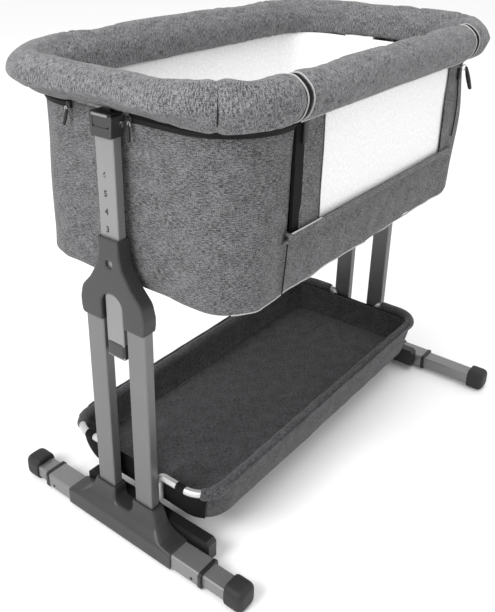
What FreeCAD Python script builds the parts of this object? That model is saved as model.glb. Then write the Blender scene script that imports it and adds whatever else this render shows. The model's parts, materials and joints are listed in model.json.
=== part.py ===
import FreeCAD, Part
import math
import os
import re
import Sketcher

# A bedside bassinet on a height-adjustable stand. Millimetres, +Z up, +X along the bassinet,
# -Y the side that folds down, origin on the floor under the middle of the stand.
# "Near" is the -X end and "far" the +X end; "front" is -Y and "rear" +Y.

SIZES = {
    # overall
    "end_distance": 420.0, "rail_half_width": 225.0, "rail_height": 811.0,
    # stand: feet
    "foot_width": 44.0, "foot_thick": 31.0, "foot_corner": 5.0,
    "foot_wall": 1.8, "foot_half_length": 190.0, "foot_base": 5.5,
    "reach_tube_play": 3.5, "reach_tube_corner": 4.0, "reach_tube_wall": 1.5, "reach_tube_length": 175.0,
    "collar_length": 6.0, "collar_lip": 1.5, "slide_gap": 0.2,
    "cap_length": 38.0, "cap_excess": 14.0, "cap_socket": 25.0, "cap_round": 12.0, "cap_gap": 0.1,
    "near_front_reach": 241.0, "near_rear_reach": 223.0, "far_reach": 306.0,
    "peg_radius": 3.0, "peg_inset": 15.0,
    # stand: shoes, stiffener bars and lower posts
    "shoe_half_length": 131.0, "shoe_wall": 2.4, "shoe_floor": 4.0, "shoe_cover": 3.5, "shoe_web": 8.5,
    "shoe_socket": 41.0, "shoe_slot_lift": 12.0, "shoe_slot_wall": 5.0,
    "bar_width": 20.0, "bar_floor": 15.0, "bar_top": 55.0, "bar_front": 175.0, "bar_rear": 125.0,
    "bar_chamfer": 6.0,
    "post_thick": 20.0, "post_width": 40.0, "post_corner": 3.0, "post_wall": 1.5, "post_engage": 43.0,
    "socket_gap": 0.2,
    # stand: yokes
    "yoke_base": 435.0, "yoke_length": 150.0, "yoke_thick": 28.0, "yoke_slot_depth": 54.0,
    "yoke_slot_gap": 5.2, "yoke_neck_wall": 3.0, "yoke_hip_wall": 9.0,
    "window_height": 12.0, "window_width": 13.0, "window_rise": 106.0,
    # upper posts
    "mast_width": 38.0, "mast_thick": 18.0, "mast_corner": 3.0, "mast_wall": 1.5,
    "mast_foot": 372.0, "mast_gap_x": 1.0, "mast_gap_y": 0.5, "mast_side_gap": 7.0,
    "plug_length": 10.0, "plug_spigot": 12.0, "lock_rod_radius": 3.0,
    # heads
    "head_height": 33.0, "head_gap": 1.0, "head_depth": 24.0, "head_lip": 1.5, "head_brow": 4.5,
    "pivot_inset": 14.0, "pivot_drop": 13.0, "pin_radius": 3.0, "pin_gap": 0.05,
    "pin_head_radius": 5.0, "pin_head": 1.5,
    "lug_thick": 10.0, "lug_width": 16.0, "lug_drop": 6.0, "lug_gap": 0.5,
    "saddle_gap": 1.0, "saddle_thick": 1.5, "saddle_width": 44.0,
    "button_thick": 4.8, "button_half": 16.0, "button_height": 18.5, "button_travel": 3.5,
    "button_gap": 0.5,
    # bassinet rail
    "rail_corner": 115.0, "rail_tube_radius": 12.5, "rail_tube_wall": 1.2,
    "pad_radius": 35.0, "pad_slot_half": 13.0, "pad_lip": 3.0, "pad_gap": 0.5,
    "side_half": 279.0, "ring_thick": 8.0, "ring_gap": 1.0, "ring_inset": 2.0,
    # bassinet body
    "body_end_gap": 26.0, "body_depth": 285.0, "body_taper_x": 8.0, "body_taper_y": 11.0,
    "body_corner": 112.0, "body_corner_loss": 37.0, "shell_thick": 4.0, "shell_base": 3.0,
    "lining_inset": 5.0, "lining_thick": 2.0, "lining_rise": 30.0, "opening_gap": 11.0,
    "zip_height": 11.0, "zip_thick": 1.5, "zip_gap": 0.3,
    "loop_rise": 14.0, "loop_radius": 8.0, "loop_wall": 1.0, "loop_inset": 17.0,
    "board_thick": 4.0, "board_inset": 14.0, "mattress_thick": 40.0, "mattress_inset": 16.0,
    # drop side
    "hinge_rise": 110.0, "hinge_rod_radius": 3.0, "hinge_gap": 0.05, "eye_wall": 3.0,
    "arm_width": 22.0, "arm_inset": 10.0, "arm_thick": 5.0, "border_thick": 4.0, "border_rise": 7.0,
    "border_near": 80.0, "border_far": 45.0, "border_hem": 6.0, "mesh_thick": 1.0, "mesh_gap": 0.3,
    "slider_inset": 6.0, "slider_drop": 35.0, "slider_height": 14.0, "pull_length": 42.0,
    # basket
    "basket_end_gap": 37.0, "basket_corner": 60.0, "basket_floor": 67.0, "basket_rim_gap": 0.5,
    "basket_taper": 12.0, "basket_wall": 3.0,
    "basket_tube_height": 141.0, "basket_tube_radius": 7.0, "basket_tube_wall": 1.2,
    "basket_tube_half_width": 166.0, "basket_tube_corner": 48.0,
    "stub_shift": 14.0, "stub_clear": 2.0, "stub_bend": 14.0, "tube_gap": 0.3,
    "floor_board_thick": 3.0, "floor_board_gap": 4.0, "tab_offset": 112.0, "tab_length": 18.0,
    "tab_thick": 0.5, "bolt_radius": 2.5, "bolt_head_radius": 4.5, "bolt_head": 2.5, "bolt_rise": 12.0,
}

# Sizes that follow from the ones above: what fits in or lines up with another piece.
RELATIONS = {
    "foot_centre": "end_distance",
    "post_face": "end_distance",
    "rail_half_length": "end_distance",
    "tube_height": "foot_base + foot_thick / 2",
    "reach_tube_width": "foot_width - 2 * reach_tube_play",
    "reach_tube_thick": "foot_thick - 2 * reach_tube_play + 1",
    "cap_height": "foot_thick + cap_excess",
    "shoe_shoulder": "foot_base + foot_thick + shoe_cover",
    "post_foot": "foot_base + foot_thick + shoe_web",
    "post_spread": "mast_width / 2 + mast_side_gap + post_width / 2",
    "shoe_top": "post_foot + shoe_socket",
    "shoe_slot_floor": "post_foot + shoe_slot_lift",
    "shoe_slot_half": "post_spread - post_width / 2 - shoe_slot_wall",
    "post_top": "yoke_base + post_engage",
    "yoke_top": "yoke_base + yoke_length",
    "yoke_slot_top": "yoke_base + yoke_slot_depth",
    "yoke_slot_half": "mast_width / 2 + yoke_slot_gap",
    "yoke_neck_half": "mast_width / 2 + yoke_neck_wall",
    "yoke_hip_half": "post_spread + post_width / 2 + yoke_hip_wall",
    "window_centre": "yoke_base + window_rise",
    "head_top": "rail_height - pad_radius - head_gap",
    "mast_top": "head_top - head_height",
    "head_foot_half": "mast_width / 2 + head_lip",
    "head_brow_half": "mast_width / 2 + head_brow",
    "pivot_height": "head_top - pivot_drop",
    "button_foot": "head_top - button_height",
    "ring_radius": "pad_radius - ring_inset",
    "body_half_length": "end_distance - body_end_gap",
    "body_half_width": "rail_half_width",
    "body_top": "head_top",
    "body_floor": "body_top - body_depth",
    "lining_foot": "body_floor + lining_rise",
    "loop_height": "body_floor + loop_rise",
    "hinge_height": "body_floor + hinge_rise",
    "eye_radius": "hinge_rod_radius + eye_wall",
    "opening_floor": "hinge_height - hinge_rod_radius",
    "opening_half": "side_half + opening_gap",
    "border_foot": "hinge_height + border_rise",
    "mesh_foot": "border_foot + border_hem",
    "mesh_top": "body_top + 1 - border_hem",
    "mesh_near": "side_half - border_near",
    "mesh_far": "side_half - border_far",
    "slider_top": "body_top - slider_drop",
    "basket_half_length": "end_distance - basket_end_gap",
    "basket_half_width": "basket_tube_half_width + basket_tube_radius",
    "basket_rim": "basket_tube_height - basket_tube_radius - basket_rim_gap",
    "stub_offset": "post_spread + stub_shift",
    "stub_foot": "shoe_top + stub_clear",
    "bolt_height": "stub_foot + bolt_rise",
}

doc = FreeCAD.newDocument("bassinet")
sheet = doc.addObject("Spreadsheet::Sheet", "Sizes")
for row, (alias, value) in enumerate(SIZES.items(), start=1):
    sheet.set(f"A{row}", alias)
    sheet.set(f"B{row}", str(value))
    sheet.setAlias(f"B{row}", alias)
doc.recompute()
derived = doc.addObject("App::VarSet", "Derived")


def cells(text):
    """A formula in plain size names, written with the objects that hold them."""
    def owned(word):
        owner = "Sizes" if word.group(0) in SIZES else "Derived"
        return f"{owner}.{word.group(0)}"
    return re.sub(r"[a-z][a-z_]+", owned, text)


def bind(thing, prop, text):
    """Tie a property or a sketch constraint to a formula of sizes."""
    thing.setExpression(prop, cells(text))


for relation, formula in RELATIONS.items():
    derived.addProperty("App::PropertyFloat", relation)
    bind(derived, relation, formula)
doc.recompute()

NODES = {}
UPRIGHT = FreeCAD.Rotation()
ALONG_X = FreeCAD.Rotation(FreeCAD.Vector(1, 1, 1), 120)
ALONG_MINUS_Y = FreeCAD.Rotation(FreeCAD.Vector(1, 0, 0), 90)
END_NORMAL = FreeCAD.Vector(1, 0, 0)
SIDE_NORMAL = FreeCAD.Vector(0, 1, 0)


# ---------------------------------------------------------------- shared steps

def size(name):
    """The number behind a size's name."""
    return float(sheet.get(name) if name in SIZES else getattr(derived, name))


def node(thing, name):
    """Give a finished sub-part its name, which is also its file's name."""
    thing.Label = name
    NODES[name] = thing
    return thing


def place(thing, turn, base):
    """Turn a piece and tie its position to three formulas."""
    thing.Placement = FreeCAD.Placement(FreeCAD.Vector(), turn)
    for axis, text in zip("xyz", base):
        bind(thing, "Placement.Base." + axis, text)


def block(name, xs, ys, zs):
    """A box between two formulas on each axis."""
    box = doc.addObject("Part::Box", name)
    for edge, (low, high) in zip(("Length", "Width", "Height"), (xs, ys, zs)):
        bind(box, edge, f"({high}) - ({low})")
    place(box, UPRIGHT, (xs[0], ys[0], zs[0]))
    return box


def rod(name, turn, base, radius, length):
    """A round bar from a point, along Z, X or -Y."""
    bar = doc.addObject("Part::Cylinder", name)
    bind(bar, "Radius", radius)
    bind(bar, "Height", length)
    place(bar, turn, base)
    return bar


def draw(sketch, points):
    """Close an outline of straight edges, each corner held by two formulas from the origin."""
    count = len(points)
    spots = [FreeCAD.Vector(math.cos(2 * math.pi * i / count), math.sin(2 * math.pi * i / count), 0)
             for i in range(count)]
    for i in range(count):
        sketch.addGeometry(Part.LineSegment(spots[i] * 50, spots[(i + 1) % count] * 50), False)
    for i in range(count):
        sketch.addConstraint(Sketcher.Constraint("Coincident", i, 2, (i + 1) % count, 1))
    for i, corner in enumerate(points):
        for kind, text in zip(("DistanceX", "DistanceY"), corner):
            number = sketch.addConstraint(Sketcher.Constraint(kind, -1, 1, i, 1, spots[i].x * 50 + 1))
            bind(sketch, f"Constraints[{number}]", text)


def edges_at(shape, corner):
    """Names of the straight edges that rise from one corner of the outline."""
    names = []
    for number, edge in enumerate(shape.Edges, start=1):
        if not isinstance(edge.Curve, Part.Line) or len(edge.Vertexes) < 2:
            continue
        ends = [v.Point for v in edge.Vertexes]
        off = max(math.hypot(p.x - corner.x, p.y - corner.y) for p in ends)
        if off < 1e-4 and abs(ends[0].z - ends[1].z) > 1e-3:
            names.append(f"Edge{number}")
    return names


def extrusion(name, turn, base, length, points, rounds=()):
    """A flat outline pushed out square to it, with the chosen corners rounded."""
    body = doc.addObject("PartDesign::Body", name)
    sketch = body.newObject("Sketcher::SketchObject", name + "_outline")
    plane = [feature for feature in body.Origin.OriginFeatures if feature.Role == "XY_Plane"][0]
    sketch.AttachmentSupport = [(plane, "")]
    sketch.MapMode = "FlatFace"
    draw(sketch, points)
    pad = body.newObject("PartDesign::Pad", name + "_pad")
    pad.Profile = sketch
    bind(pad, "Length", length)
    doc.recompute()
    corners = [line.StartPoint for line in sketch.Geometry]
    tip = pad
    for number, (radius, picks) in enumerate(rounds, start=1):
        names = [edge for pick in picks for edge in edges_at(tip.Shape, corners[pick])]
        fillet = body.newObject("PartDesign::Fillet", f"{name}_round_{number}")
        fillet.Base = (tip, names)
        bind(fillet, "Radius", radius)
        doc.recompute()
        tip = fillet
    place(body, turn, base)
    return body


def slab(name, turn, base, length, half_a, half_b, corner):
    """A bar of rounded rectangular section, centred on its base point."""
    points = [(f"-({half_a})", f"-({half_b})"), (half_a, f"-({half_b})"),
              (half_a, half_b), (f"-({half_a})", half_b)]
    return extrusion(name, turn, base, length, points, [(corner, (0, 1, 2, 3))])


def cut(name, base, *tools):
    """Take one or more tools away from a piece."""
    for number, tool in enumerate(tools, start=1):
        less = doc.addObject("Part::Cut", f"{name}_cut_{number}")
        less.Base = base
        less.Tool = tool
        base = less
    return base


def fuse(name, *pieces):
    """Join pieces into one solid."""
    joined = doc.addObject("Part::MultiFuse", name + "_joined")
    joined.Shapes = list(pieces)
    joined.Refine = True
    return joined


def group(name, *pieces):
    """Keep several separate solids together as one object."""
    together = doc.addObject("Part::Compound", name + "_group")
    together.Links = list(pieces)
    return together


def mirrored(name, source, normal):
    """The same piece on the other side of the middle plane."""
    image = doc.addObject("Part::Mirroring", name + "_mirror")
    image.Source = source
    image.Normal = normal
    image.Base = FreeCAD.Vector()
    return image


def both_ends(piece, name):
    """Name a near piece and make its far twin."""
    node(piece, "near_" + name)
    node(mirrored("far_" + name, piece, END_NORMAL), "far_" + name)


def rounded_ring(half_x, half_y, corner, height):
    """A closed rounded rectangle, lines and quarter arcs, at one height."""
    straight_x = half_x - corner
    straight_y = half_y - corner
    turns = [(straight_x, -straight_y, -90), (straight_x, straight_y, 0),
             (-straight_x, straight_y, 90), (-straight_x, -straight_y, 180)]
    arcs = []
    for x, y, start in turns:
        circle = Part.Circle(FreeCAD.Vector(x, y, height), FreeCAD.Vector(0, 0, 1), corner)
        arcs.append(Part.Arc(circle, math.radians(start), math.radians(start + 90)).toShape())
    edges = []
    for i, arc in enumerate(arcs):
        following = arcs[(i + 1) % len(arcs)]
        edges.append(arc)
        edges.append(Part.LineSegment(arc.lastVertex().Point, following.firstVertex().Point).toShape())
    return Part.Wire(edges)


def guide(name, shape):
    """Keep a wire in the document as a section or a path."""
    helper = doc.addObject("Part::Feature", name)
    helper.Shape = shape
    return helper


def tapered(name, low, high):
    """A closed form between two rounded rectangles: (half length, half width, corner, height)."""
    loft = doc.addObject("Part::Loft", name)
    loft.Sections = [guide(name + "_low", rounded_ring(*low)), guide(name + "_high", rounded_ring(*high))]
    loft.Solid = True
    loft.Ruled = True
    return loft


def bent_path(points, radii):
    """Straight runs joined by tangent arcs, one radius for each inner point."""
    edges = []
    start = points[0]
    for before, corner, after, radius in zip(points, points[1:], points[2:], radii):
        back = (before - corner).normalize()
        ahead = (after - corner).normalize()
        half_turn = (math.pi - back.getAngle(ahead)) / 2
        reach = radius * math.tan(half_turn)
        enter = corner + back * reach
        leave = corner + ahead * reach
        middle = corner + (back + ahead).normalize() * (radius / math.cos(half_turn) - radius)
        edges.append(Part.LineSegment(start, enter).toShape())
        edges.append(Part.Arc(enter, middle, leave).toShape())
        start = leave
    edges.append(Part.LineSegment(start, points[-1]).toShape())
    return Part.Wire(edges)


def swept(name, path, section):
    """Carry a closed section along a path."""
    sweep = doc.addObject("Part::Sweep", name)
    sweep.Sections = [guide(name + "_section", section)]
    sweep.Spine = (guide(name + "_path", path), [])
    sweep.Solid = True
    sweep.Frenet = False
    return sweep


def pipe(name, path, radius, wall):
    """A round tube along a path."""
    start = path.Edges[0].firstVertex().Point
    ahead = path.Edges[0].tangentAt(path.Edges[0].FirstParameter)
    outer = swept(name + "_outer", path, Part.Wire(Part.Circle(start, ahead, radius).toShape()))
    inner = swept(name + "_bore", path, Part.Wire(Part.Circle(start, ahead, radius - wall).toShape()))
    return cut(name, outer, inner)


# ---------------------------------------------------------------- stand

def foot_tubes():
    """Flattened tubes on the floor, open at both ends, with a peg hole near each end."""
    length = "2 * foot_half_length"
    base = ("-foot_centre", "foot_half_length", "tube_height")
    outer = slab("foot_outer", ALONG_MINUS_Y, base, length, "foot_width / 2", "foot_thick / 2", "foot_corner")
    bore = slab("foot_bore", ALONG_MINUS_Y, base, length, "foot_width / 2 - foot_wall",
                "foot_thick / 2 - foot_wall", "foot_corner - foot_wall")
    holes = []
    for end, sign in (("front", "-"), ("rear", "")):
        start = ("-foot_centre - foot_width", f"{sign}(foot_half_length - peg_inset)",
                 "foot_base + foot_thick / 3")
        holes.append(rod(f"peg_hole_{end}", ALONG_X, start, "peg_radius", "foot_width"))
    both_ends(cut("foot_tube", outer, bore, *holes), "foot_tube")


def collars():
    """Plastic bushes at the open ends of the foot tubes, the inner tubes slide through them."""
    height = "tube_height"
    front = slab("collar_outer", ALONG_MINUS_Y, ("-foot_centre", "-foot_half_length", height),
                 "collar_length", "foot_width / 2 + collar_lip", "foot_thick / 2 + collar_lip",
                 "foot_corner + collar_lip")
    hole = slab("collar_hole", ALONG_MINUS_Y, ("-foot_centre", "-foot_half_length", height),
                "collar_length", "reach_tube_width / 2 + slide_gap",
                "reach_tube_thick / 2 + slide_gap", "reach_tube_corner")
    ring = cut("collar", front, hole)
    both_ends(group("collars", ring, mirrored("collar_rear", ring, SIDE_NORMAL)), "collars")


def reach_tubes():
    """Inner tubes with rubber caps, drawn out of the foot tubes by a different length each."""
    feet = (("near_front", "-", "-", "near_front_reach"), ("near_rear", "-", "", "near_rear_reach"),
            ("far_front", "", "-", "far_reach"), ("far_rear", "", "", "far_reach"))
    for name, end, side, reach in feet:
        centre = f"{end}foot_centre"
        if side == "-":
            tube_start = f"-({reach} + cap_socket - reach_tube_length)"
            cap_start = f"-({reach})"
            socket_start = f"-({reach})"
        else:
            tube_start = f"{reach} + cap_socket"
            cap_start = f"{reach} + cap_length"
            socket_start = f"{reach} + cap_socket"
        outer = slab(name + "_tube_outer", ALONG_MINUS_Y, (centre, tube_start, "tube_height"),
                     "reach_tube_length", "reach_tube_width / 2", "reach_tube_thick / 2",
                     "reach_tube_corner")
        bore = slab(name + "_tube_bore", ALONG_MINUS_Y, (centre, tube_start, "tube_height"),
                    "reach_tube_length", "reach_tube_width / 2 - reach_tube_wall",
                    "reach_tube_thick / 2 - reach_tube_wall", "reach_tube_corner - reach_tube_wall")
        node(cut(name + "_tube", outer, bore), name + "_inner_tube")
        cap = slab(name + "_cap_form", ALONG_MINUS_Y, (centre, cap_start, "cap_height / 2"),
                   "cap_length", "foot_width / 2", "cap_height / 2", "cap_round")
        outer_face = "front" if side == "-" else "rear"
        blunt = rounded_end(cap, name, outer_face)
        socket = slab(name + "_cap_socket", ALONG_MINUS_Y, (centre, socket_start, "tube_height"),
                      "cap_socket", "reach_tube_width / 2 + cap_gap", "reach_tube_thick / 2 + cap_gap",
                      "reach_tube_corner")
        node(cut(name + "_cap", blunt, socket), name + "_cap")


def rounded_end(cap, name, outer_face):
    """Round the edges of a cap's outer end, inside its body."""
    doc.recompute()
    tip = cap.Tip
    far_level = tip.Shape.BoundBox.ZMax if outer_face == "front" else tip.Shape.BoundBox.ZMin
    names = [f"Edge{number}" for number, edge in enumerate(tip.Shape.Edges, start=1)
             if all(abs(vertex.Point.z - far_level) < 1e-4 for vertex in edge.Vertexes)]
    fillet = cap.newObject("PartDesign::Fillet", name + "_cap_nose")
    fillet.Base = (tip, names)
    bind(fillet, "Radius", "cap_round - 2")
    doc.recompute()
    return cap


def shoes():
    """Saddle-shaped shoes: they straddle the foot tube and rise to two sockets for the lower posts."""
    side = [("shoe_half_length", "shoe_floor"), ("shoe_half_length", "shoe_shoulder - 2"),
            ("shoe_half_length - 30", "shoe_shoulder + 3"), ("shoe_half_length - 48", "shoe_shoulder + 17"),
            ("post_spread + post_width / 2 + 5", "shoe_top"), ("shoe_slot_half", "shoe_top"),
            ("shoe_slot_half", "shoe_slot_floor")]
    left = [(f"-({u})", v) for u, v in reversed(side)]
    profile = extrusion("shoe_side", ALONG_X, ("-foot_centre - foot_width", "0", "0"), "2 * foot_width",
                        side + left, [("16", (3, 10)), ("14", (2, 11)), ("10", (6, 7))])
    half = "(foot_width / 2 + shoe_wall)"
    section = [(f"-foot_centre - {half}", "shoe_floor"), (f"-foot_centre + {half}", "shoe_floor"),
               (f"-foot_centre + {half}", "shoe_top"), ("-post_face - 5", "shoe_top"),
               ("-post_face - 5.5", "shoe_top - 16"), ("-post_face - 11", "shoe_shoulder + 15"),
               (f"-foot_centre - {half}", "shoe_shoulder")]
    cross = extrusion("shoe_cross", ALONG_MINUS_Y, ("0", "shoe_half_length", "0"), "2 * shoe_half_length",
                      section, [("14", (4, 5)), ("4", (6,))])
    form = doc.addObject("Part::Common", "shoe_form")
    form.Base = profile
    form.Tool = cross
    tunnel = block("shoe_tunnel", ("-foot_centre - foot_width / 2 - socket_gap / 2",
                                   "-foot_centre + foot_width / 2 + socket_gap / 2"),
                   ("-shoe_half_length - 1", "shoe_half_length + 1"),
                   ("shoe_floor - 1", "foot_base + foot_thick + socket_gap / 2"))
    sockets = []
    for name, sign in (("front", "-"), ("rear", "")):
        sockets.append(slab("shoe_socket_" + name, UPRIGHT,
                            ("-post_face + post_thick / 2", f"{sign}post_spread", "post_foot"),
                            "shoe_top", "post_thick / 2 + socket_gap", "post_width / 2 + socket_gap",
                            "post_corner"))
    both_ends(cut("shoe", form, tunnel, *sockets), "shoe")


def stiffener_bars():
    """Black bars on the inboard side of the shoes, with sloping ends."""
    points = [("bar_front", "bar_floor"), ("bar_front", "bar_top - bar_chamfer"),
              ("bar_front - bar_chamfer", "bar_top"), ("-bar_rear + bar_chamfer", "bar_top"),
              ("-bar_rear", "bar_top - bar_chamfer"), ("-bar_rear", "bar_floor")]
    outline = [(f"-({u})", v) for u, v in points]
    base = ("-foot_centre + foot_width / 2 + shoe_wall", "0", "0")
    both_ends(extrusion("stiffener", ALONG_X, base, "bar_width", outline, [("3", (1, 2, 3, 4))]),
              "stiffener_bar")


def lower_posts():
    """Rectangular tubes from the shoes up into the yokes, drilled for the basket tubes' bolts."""
    middle = "-post_face + post_thick / 2"
    for side, sign in (("front", "-"), ("rear", "")):
        base = (middle, f"{sign}post_spread", "post_foot")
        outer = slab(f"post_outer_{side}", UPRIGHT, base, "post_top - post_foot", "post_thick / 2",
                     "post_width / 2", "post_corner")
        bore = slab(f"post_bore_{side}", UPRIGHT, base, "post_top - post_foot",
                    "post_thick / 2 - post_wall", "post_width / 2 - post_wall", "post_corner - post_wall")
        hole = rod(f"post_hole_{side}", ALONG_X, (middle, f"{sign}stub_offset", "bolt_height"),
                   "bolt_radius + hinge_gap", "post_thick")
        both_ends(cut(f"post_{side}", outer, bore, hole), f"{side}_post")


def yokes():
    """Y-shaped housings: two sockets below for the lower posts, one sleeve above for the upper post."""
    half = [("yoke_neck_half", "yoke_top"), ("yoke_neck_half", "yoke_top - 26"),
            ("yoke_neck_half + 6", "yoke_top - 48"), ("yoke_hip_half - 28", "yoke_top - 76"),
            ("yoke_hip_half - 6", "yoke_top - 98"), ("yoke_hip_half", "yoke_top - 122"),
            ("yoke_hip_half - 2", "yoke_base"), ("yoke_slot_half", "yoke_base"),
            ("yoke_slot_half", "yoke_slot_top")]
    left = [(f"-({u})", v) for u, v in reversed(half)]
    front_face = "-post_face - (yoke_thick - post_thick) / 2 - 1"
    form = extrusion("yoke_form", ALONG_X, (front_face, "0", "0"), "yoke_thick", half + left,
                     [("yoke_slot_half - 1", (8, 9)), ("28", (1, 2, 15, 16)), ("30", (3, 4, 13, 14)),
                      ("8", (6, 11))])
    mast_middle = "-post_face + mast_thick / 2"
    sleeve = slab("yoke_sleeve", UPRIGHT, (mast_middle, "0", "yoke_slot_top - 30"),
                  "yoke_top - yoke_slot_top + 60", "mast_thick / 2 + mast_gap_x",
                  "mast_width / 2 + mast_gap_y", "mast_corner")
    window = block("yoke_window", (front_face + " - 1", "-post_face - mast_gap_x + 1"),
                   ("-window_width / 2", "window_width / 2"),
                   ("window_centre - window_height / 2", "window_centre + window_height / 2"))
    sockets = []
    for name, sign in (("front", "-"), ("rear", "")):
        sockets.append(slab("yoke_socket_" + name, UPRIGHT,
                            ("-post_face + post_thick / 2", f"{sign}post_spread", "yoke_base - 10"),
                            "post_top - yoke_base + 10", "post_thick / 2 + socket_gap",
                            "post_width / 2 + socket_gap", "post_corner"))
    both_ends(cut("yoke", form, sleeve, window, *sockets), "yoke")


# ---------------------------------------------------------------- basket

def basket_path():
    """The front basket tube: up from a post, along the end, round the corner and to the other post."""
    end = size("post_face") - size("post_thick") - size("basket_tube_radius") - size("tube_gap")
    side = size("basket_tube_half_width")
    stub = size("stub_offset")
    foot = size("stub_foot")
    height = size("basket_tube_height")
    points = [FreeCAD.Vector(-end, -stub, foot), FreeCAD.Vector(-end, -stub, height),
              FreeCAD.Vector(-end, -side, height), FreeCAD.Vector(end, -side, height),
              FreeCAD.Vector(end, -stub, height), FreeCAD.Vector(end, -stub, foot)]
    bend = size("stub_bend")
    corner = size("basket_tube_corner")
    return bent_path(points, [bend, corner, corner, bend])


def basket():
    """Two bent tubes bolted to the posts, with a fabric tub, its floor board and four tabs."""
    tube = pipe("basket_tube", basket_path(), size("basket_tube_radius"), size("basket_tube_wall"))
    inner_face = "post_face - post_thick"
    reach = "(2 * basket_tube_radius + tube_gap)"
    holes = []
    for end, sign in (("near", "-"), ("far", "")):
        low = f"-({inner_face})" if sign else f"{inner_face} - {reach}"
        start = (low + " - 1", "-stub_offset", "bolt_height")
        holes.append(rod(f"tube_hole_{end}", ALONG_X, start, "bolt_radius + hinge_gap", reach + " + 2"))
    shank = rod("bolt_shank", ALONG_X, (f"-({inner_face}) - post_wall - 1", "-stub_offset", "bolt_height"),
                "bolt_radius", reach + " + post_wall + 1")
    head = rod("bolt_cap", ALONG_X, (f"-({inner_face}) + {reach}", "-stub_offset", "bolt_height"),
               "bolt_head_radius", "bolt_head")
    bolt = fuse("bolt", shank, head)
    bolts = [bolt, mirrored("bolt_far", bolt, END_NORMAL), mirrored("bolt_rear", bolt, SIDE_NORMAL)]
    bolts.append(mirrored("bolt_far_rear", bolts[1], SIDE_NORMAL))
    front = node(cut("basket_front", tube, *holes), "basket_front_tube")
    node(mirrored("basket_rear", front, SIDE_NORMAL), "basket_rear_tube")
    node(group("basket_bolts", *bolts), "basket_bolts")

    half_x = size("basket_half_length")
    half_y = size("basket_half_width")
    corner = size("basket_corner")
    taper = size("basket_taper")
    wall = size("basket_wall")
    floor = size("basket_floor")
    rim = size("basket_rim")
    outer = tapered("basket_outer", (half_x - taper, half_y - taper, corner - taper, floor),
                    (half_x, half_y, corner, rim))
    rise = taper * wall / (rim - floor)
    inner = tapered("basket_inner",
                    (half_x - taper - wall + rise, half_y - taper - wall + rise,
                     corner - taper - wall + rise, floor + wall),
                    (half_x - wall, half_y - wall, corner - wall, rim))
    node(cut("basket_tub", outer, inner), "basket")

    inset = taper + wall + size("floor_board_gap")
    level = floor + wall + size("zip_gap")
    outline = (half_x - inset, half_y - inset, corner - inset)
    node(tapered("basket_board", (*outline, level), (*outline, level + size("floor_board_thick"))),
         "basket_floor_board")

    tube_middle = f"-({inner_face} - basket_tube_radius - tube_gap)"
    start = (tube_middle, "-tab_offset + tab_length / 2", "basket_tube_height")
    sleeve = rod("tab_sleeve", ALONG_MINUS_Y, start, "basket_tube_radius + tube_gap + tab_thick",
                 "tab_length")
    bore = rod("tab_bore", ALONG_MINUS_Y, start, "basket_tube_radius + tube_gap / 2", "tab_length")
    tab = cut("tab", sleeve, bore)
    tab_far = mirrored("tab_far", tab, END_NORMAL)
    node(group("tabs", tab, tab_far, mirrored("tab_rear", tab, SIDE_NORMAL),
               mirrored("tab_far_rear", tab_far, SIDE_NORMAL)), "basket_tabs")


# ---------------------------------------------------------------- upper posts and heads

def upper_posts():
    """Tubes that slide in the yokes, with an end plug below and the lock rod inside."""
    middle = "-post_face + mast_thick / 2"
    outer = slab("mast_outer", UPRIGHT, (middle, "0", "mast_foot"), "mast_top - mast_foot",
                 "mast_thick / 2", "mast_width / 2", "mast_corner")
    bore = slab("mast_bore", UPRIGHT, (middle, "0", "mast_foot"), "mast_top - mast_foot",
                "mast_thick / 2 - mast_wall", "mast_width / 2 - mast_wall", "mast_corner - mast_wall")
    both_ends(cut("mast", outer, bore), "upper_post")
    foot = slab("plug_foot", UPRIGHT, (middle, "0", "mast_foot - plug_length"), "plug_length",
                "mast_thick / 2", "mast_width / 2", "mast_corner")
    spigot = slab("plug_spigot", UPRIGHT, (middle, "0", "mast_foot - 1"), "plug_spigot + 1",
                  "mast_thick / 2 - mast_wall - socket_gap", "mast_width / 2 - mast_wall - socket_gap",
                  "mast_corner - mast_wall")
    both_ends(fuse("plug", foot, spigot), "post_plug")
    rod_foot = "mast_foot + plug_spigot + 1"
    both_ends(rod("lock_rod", UPRIGHT, (middle, "0", rod_foot), "lock_rod_radius",
                  f"mast_top - ({rod_foot})"), "lock_rod")


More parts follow.
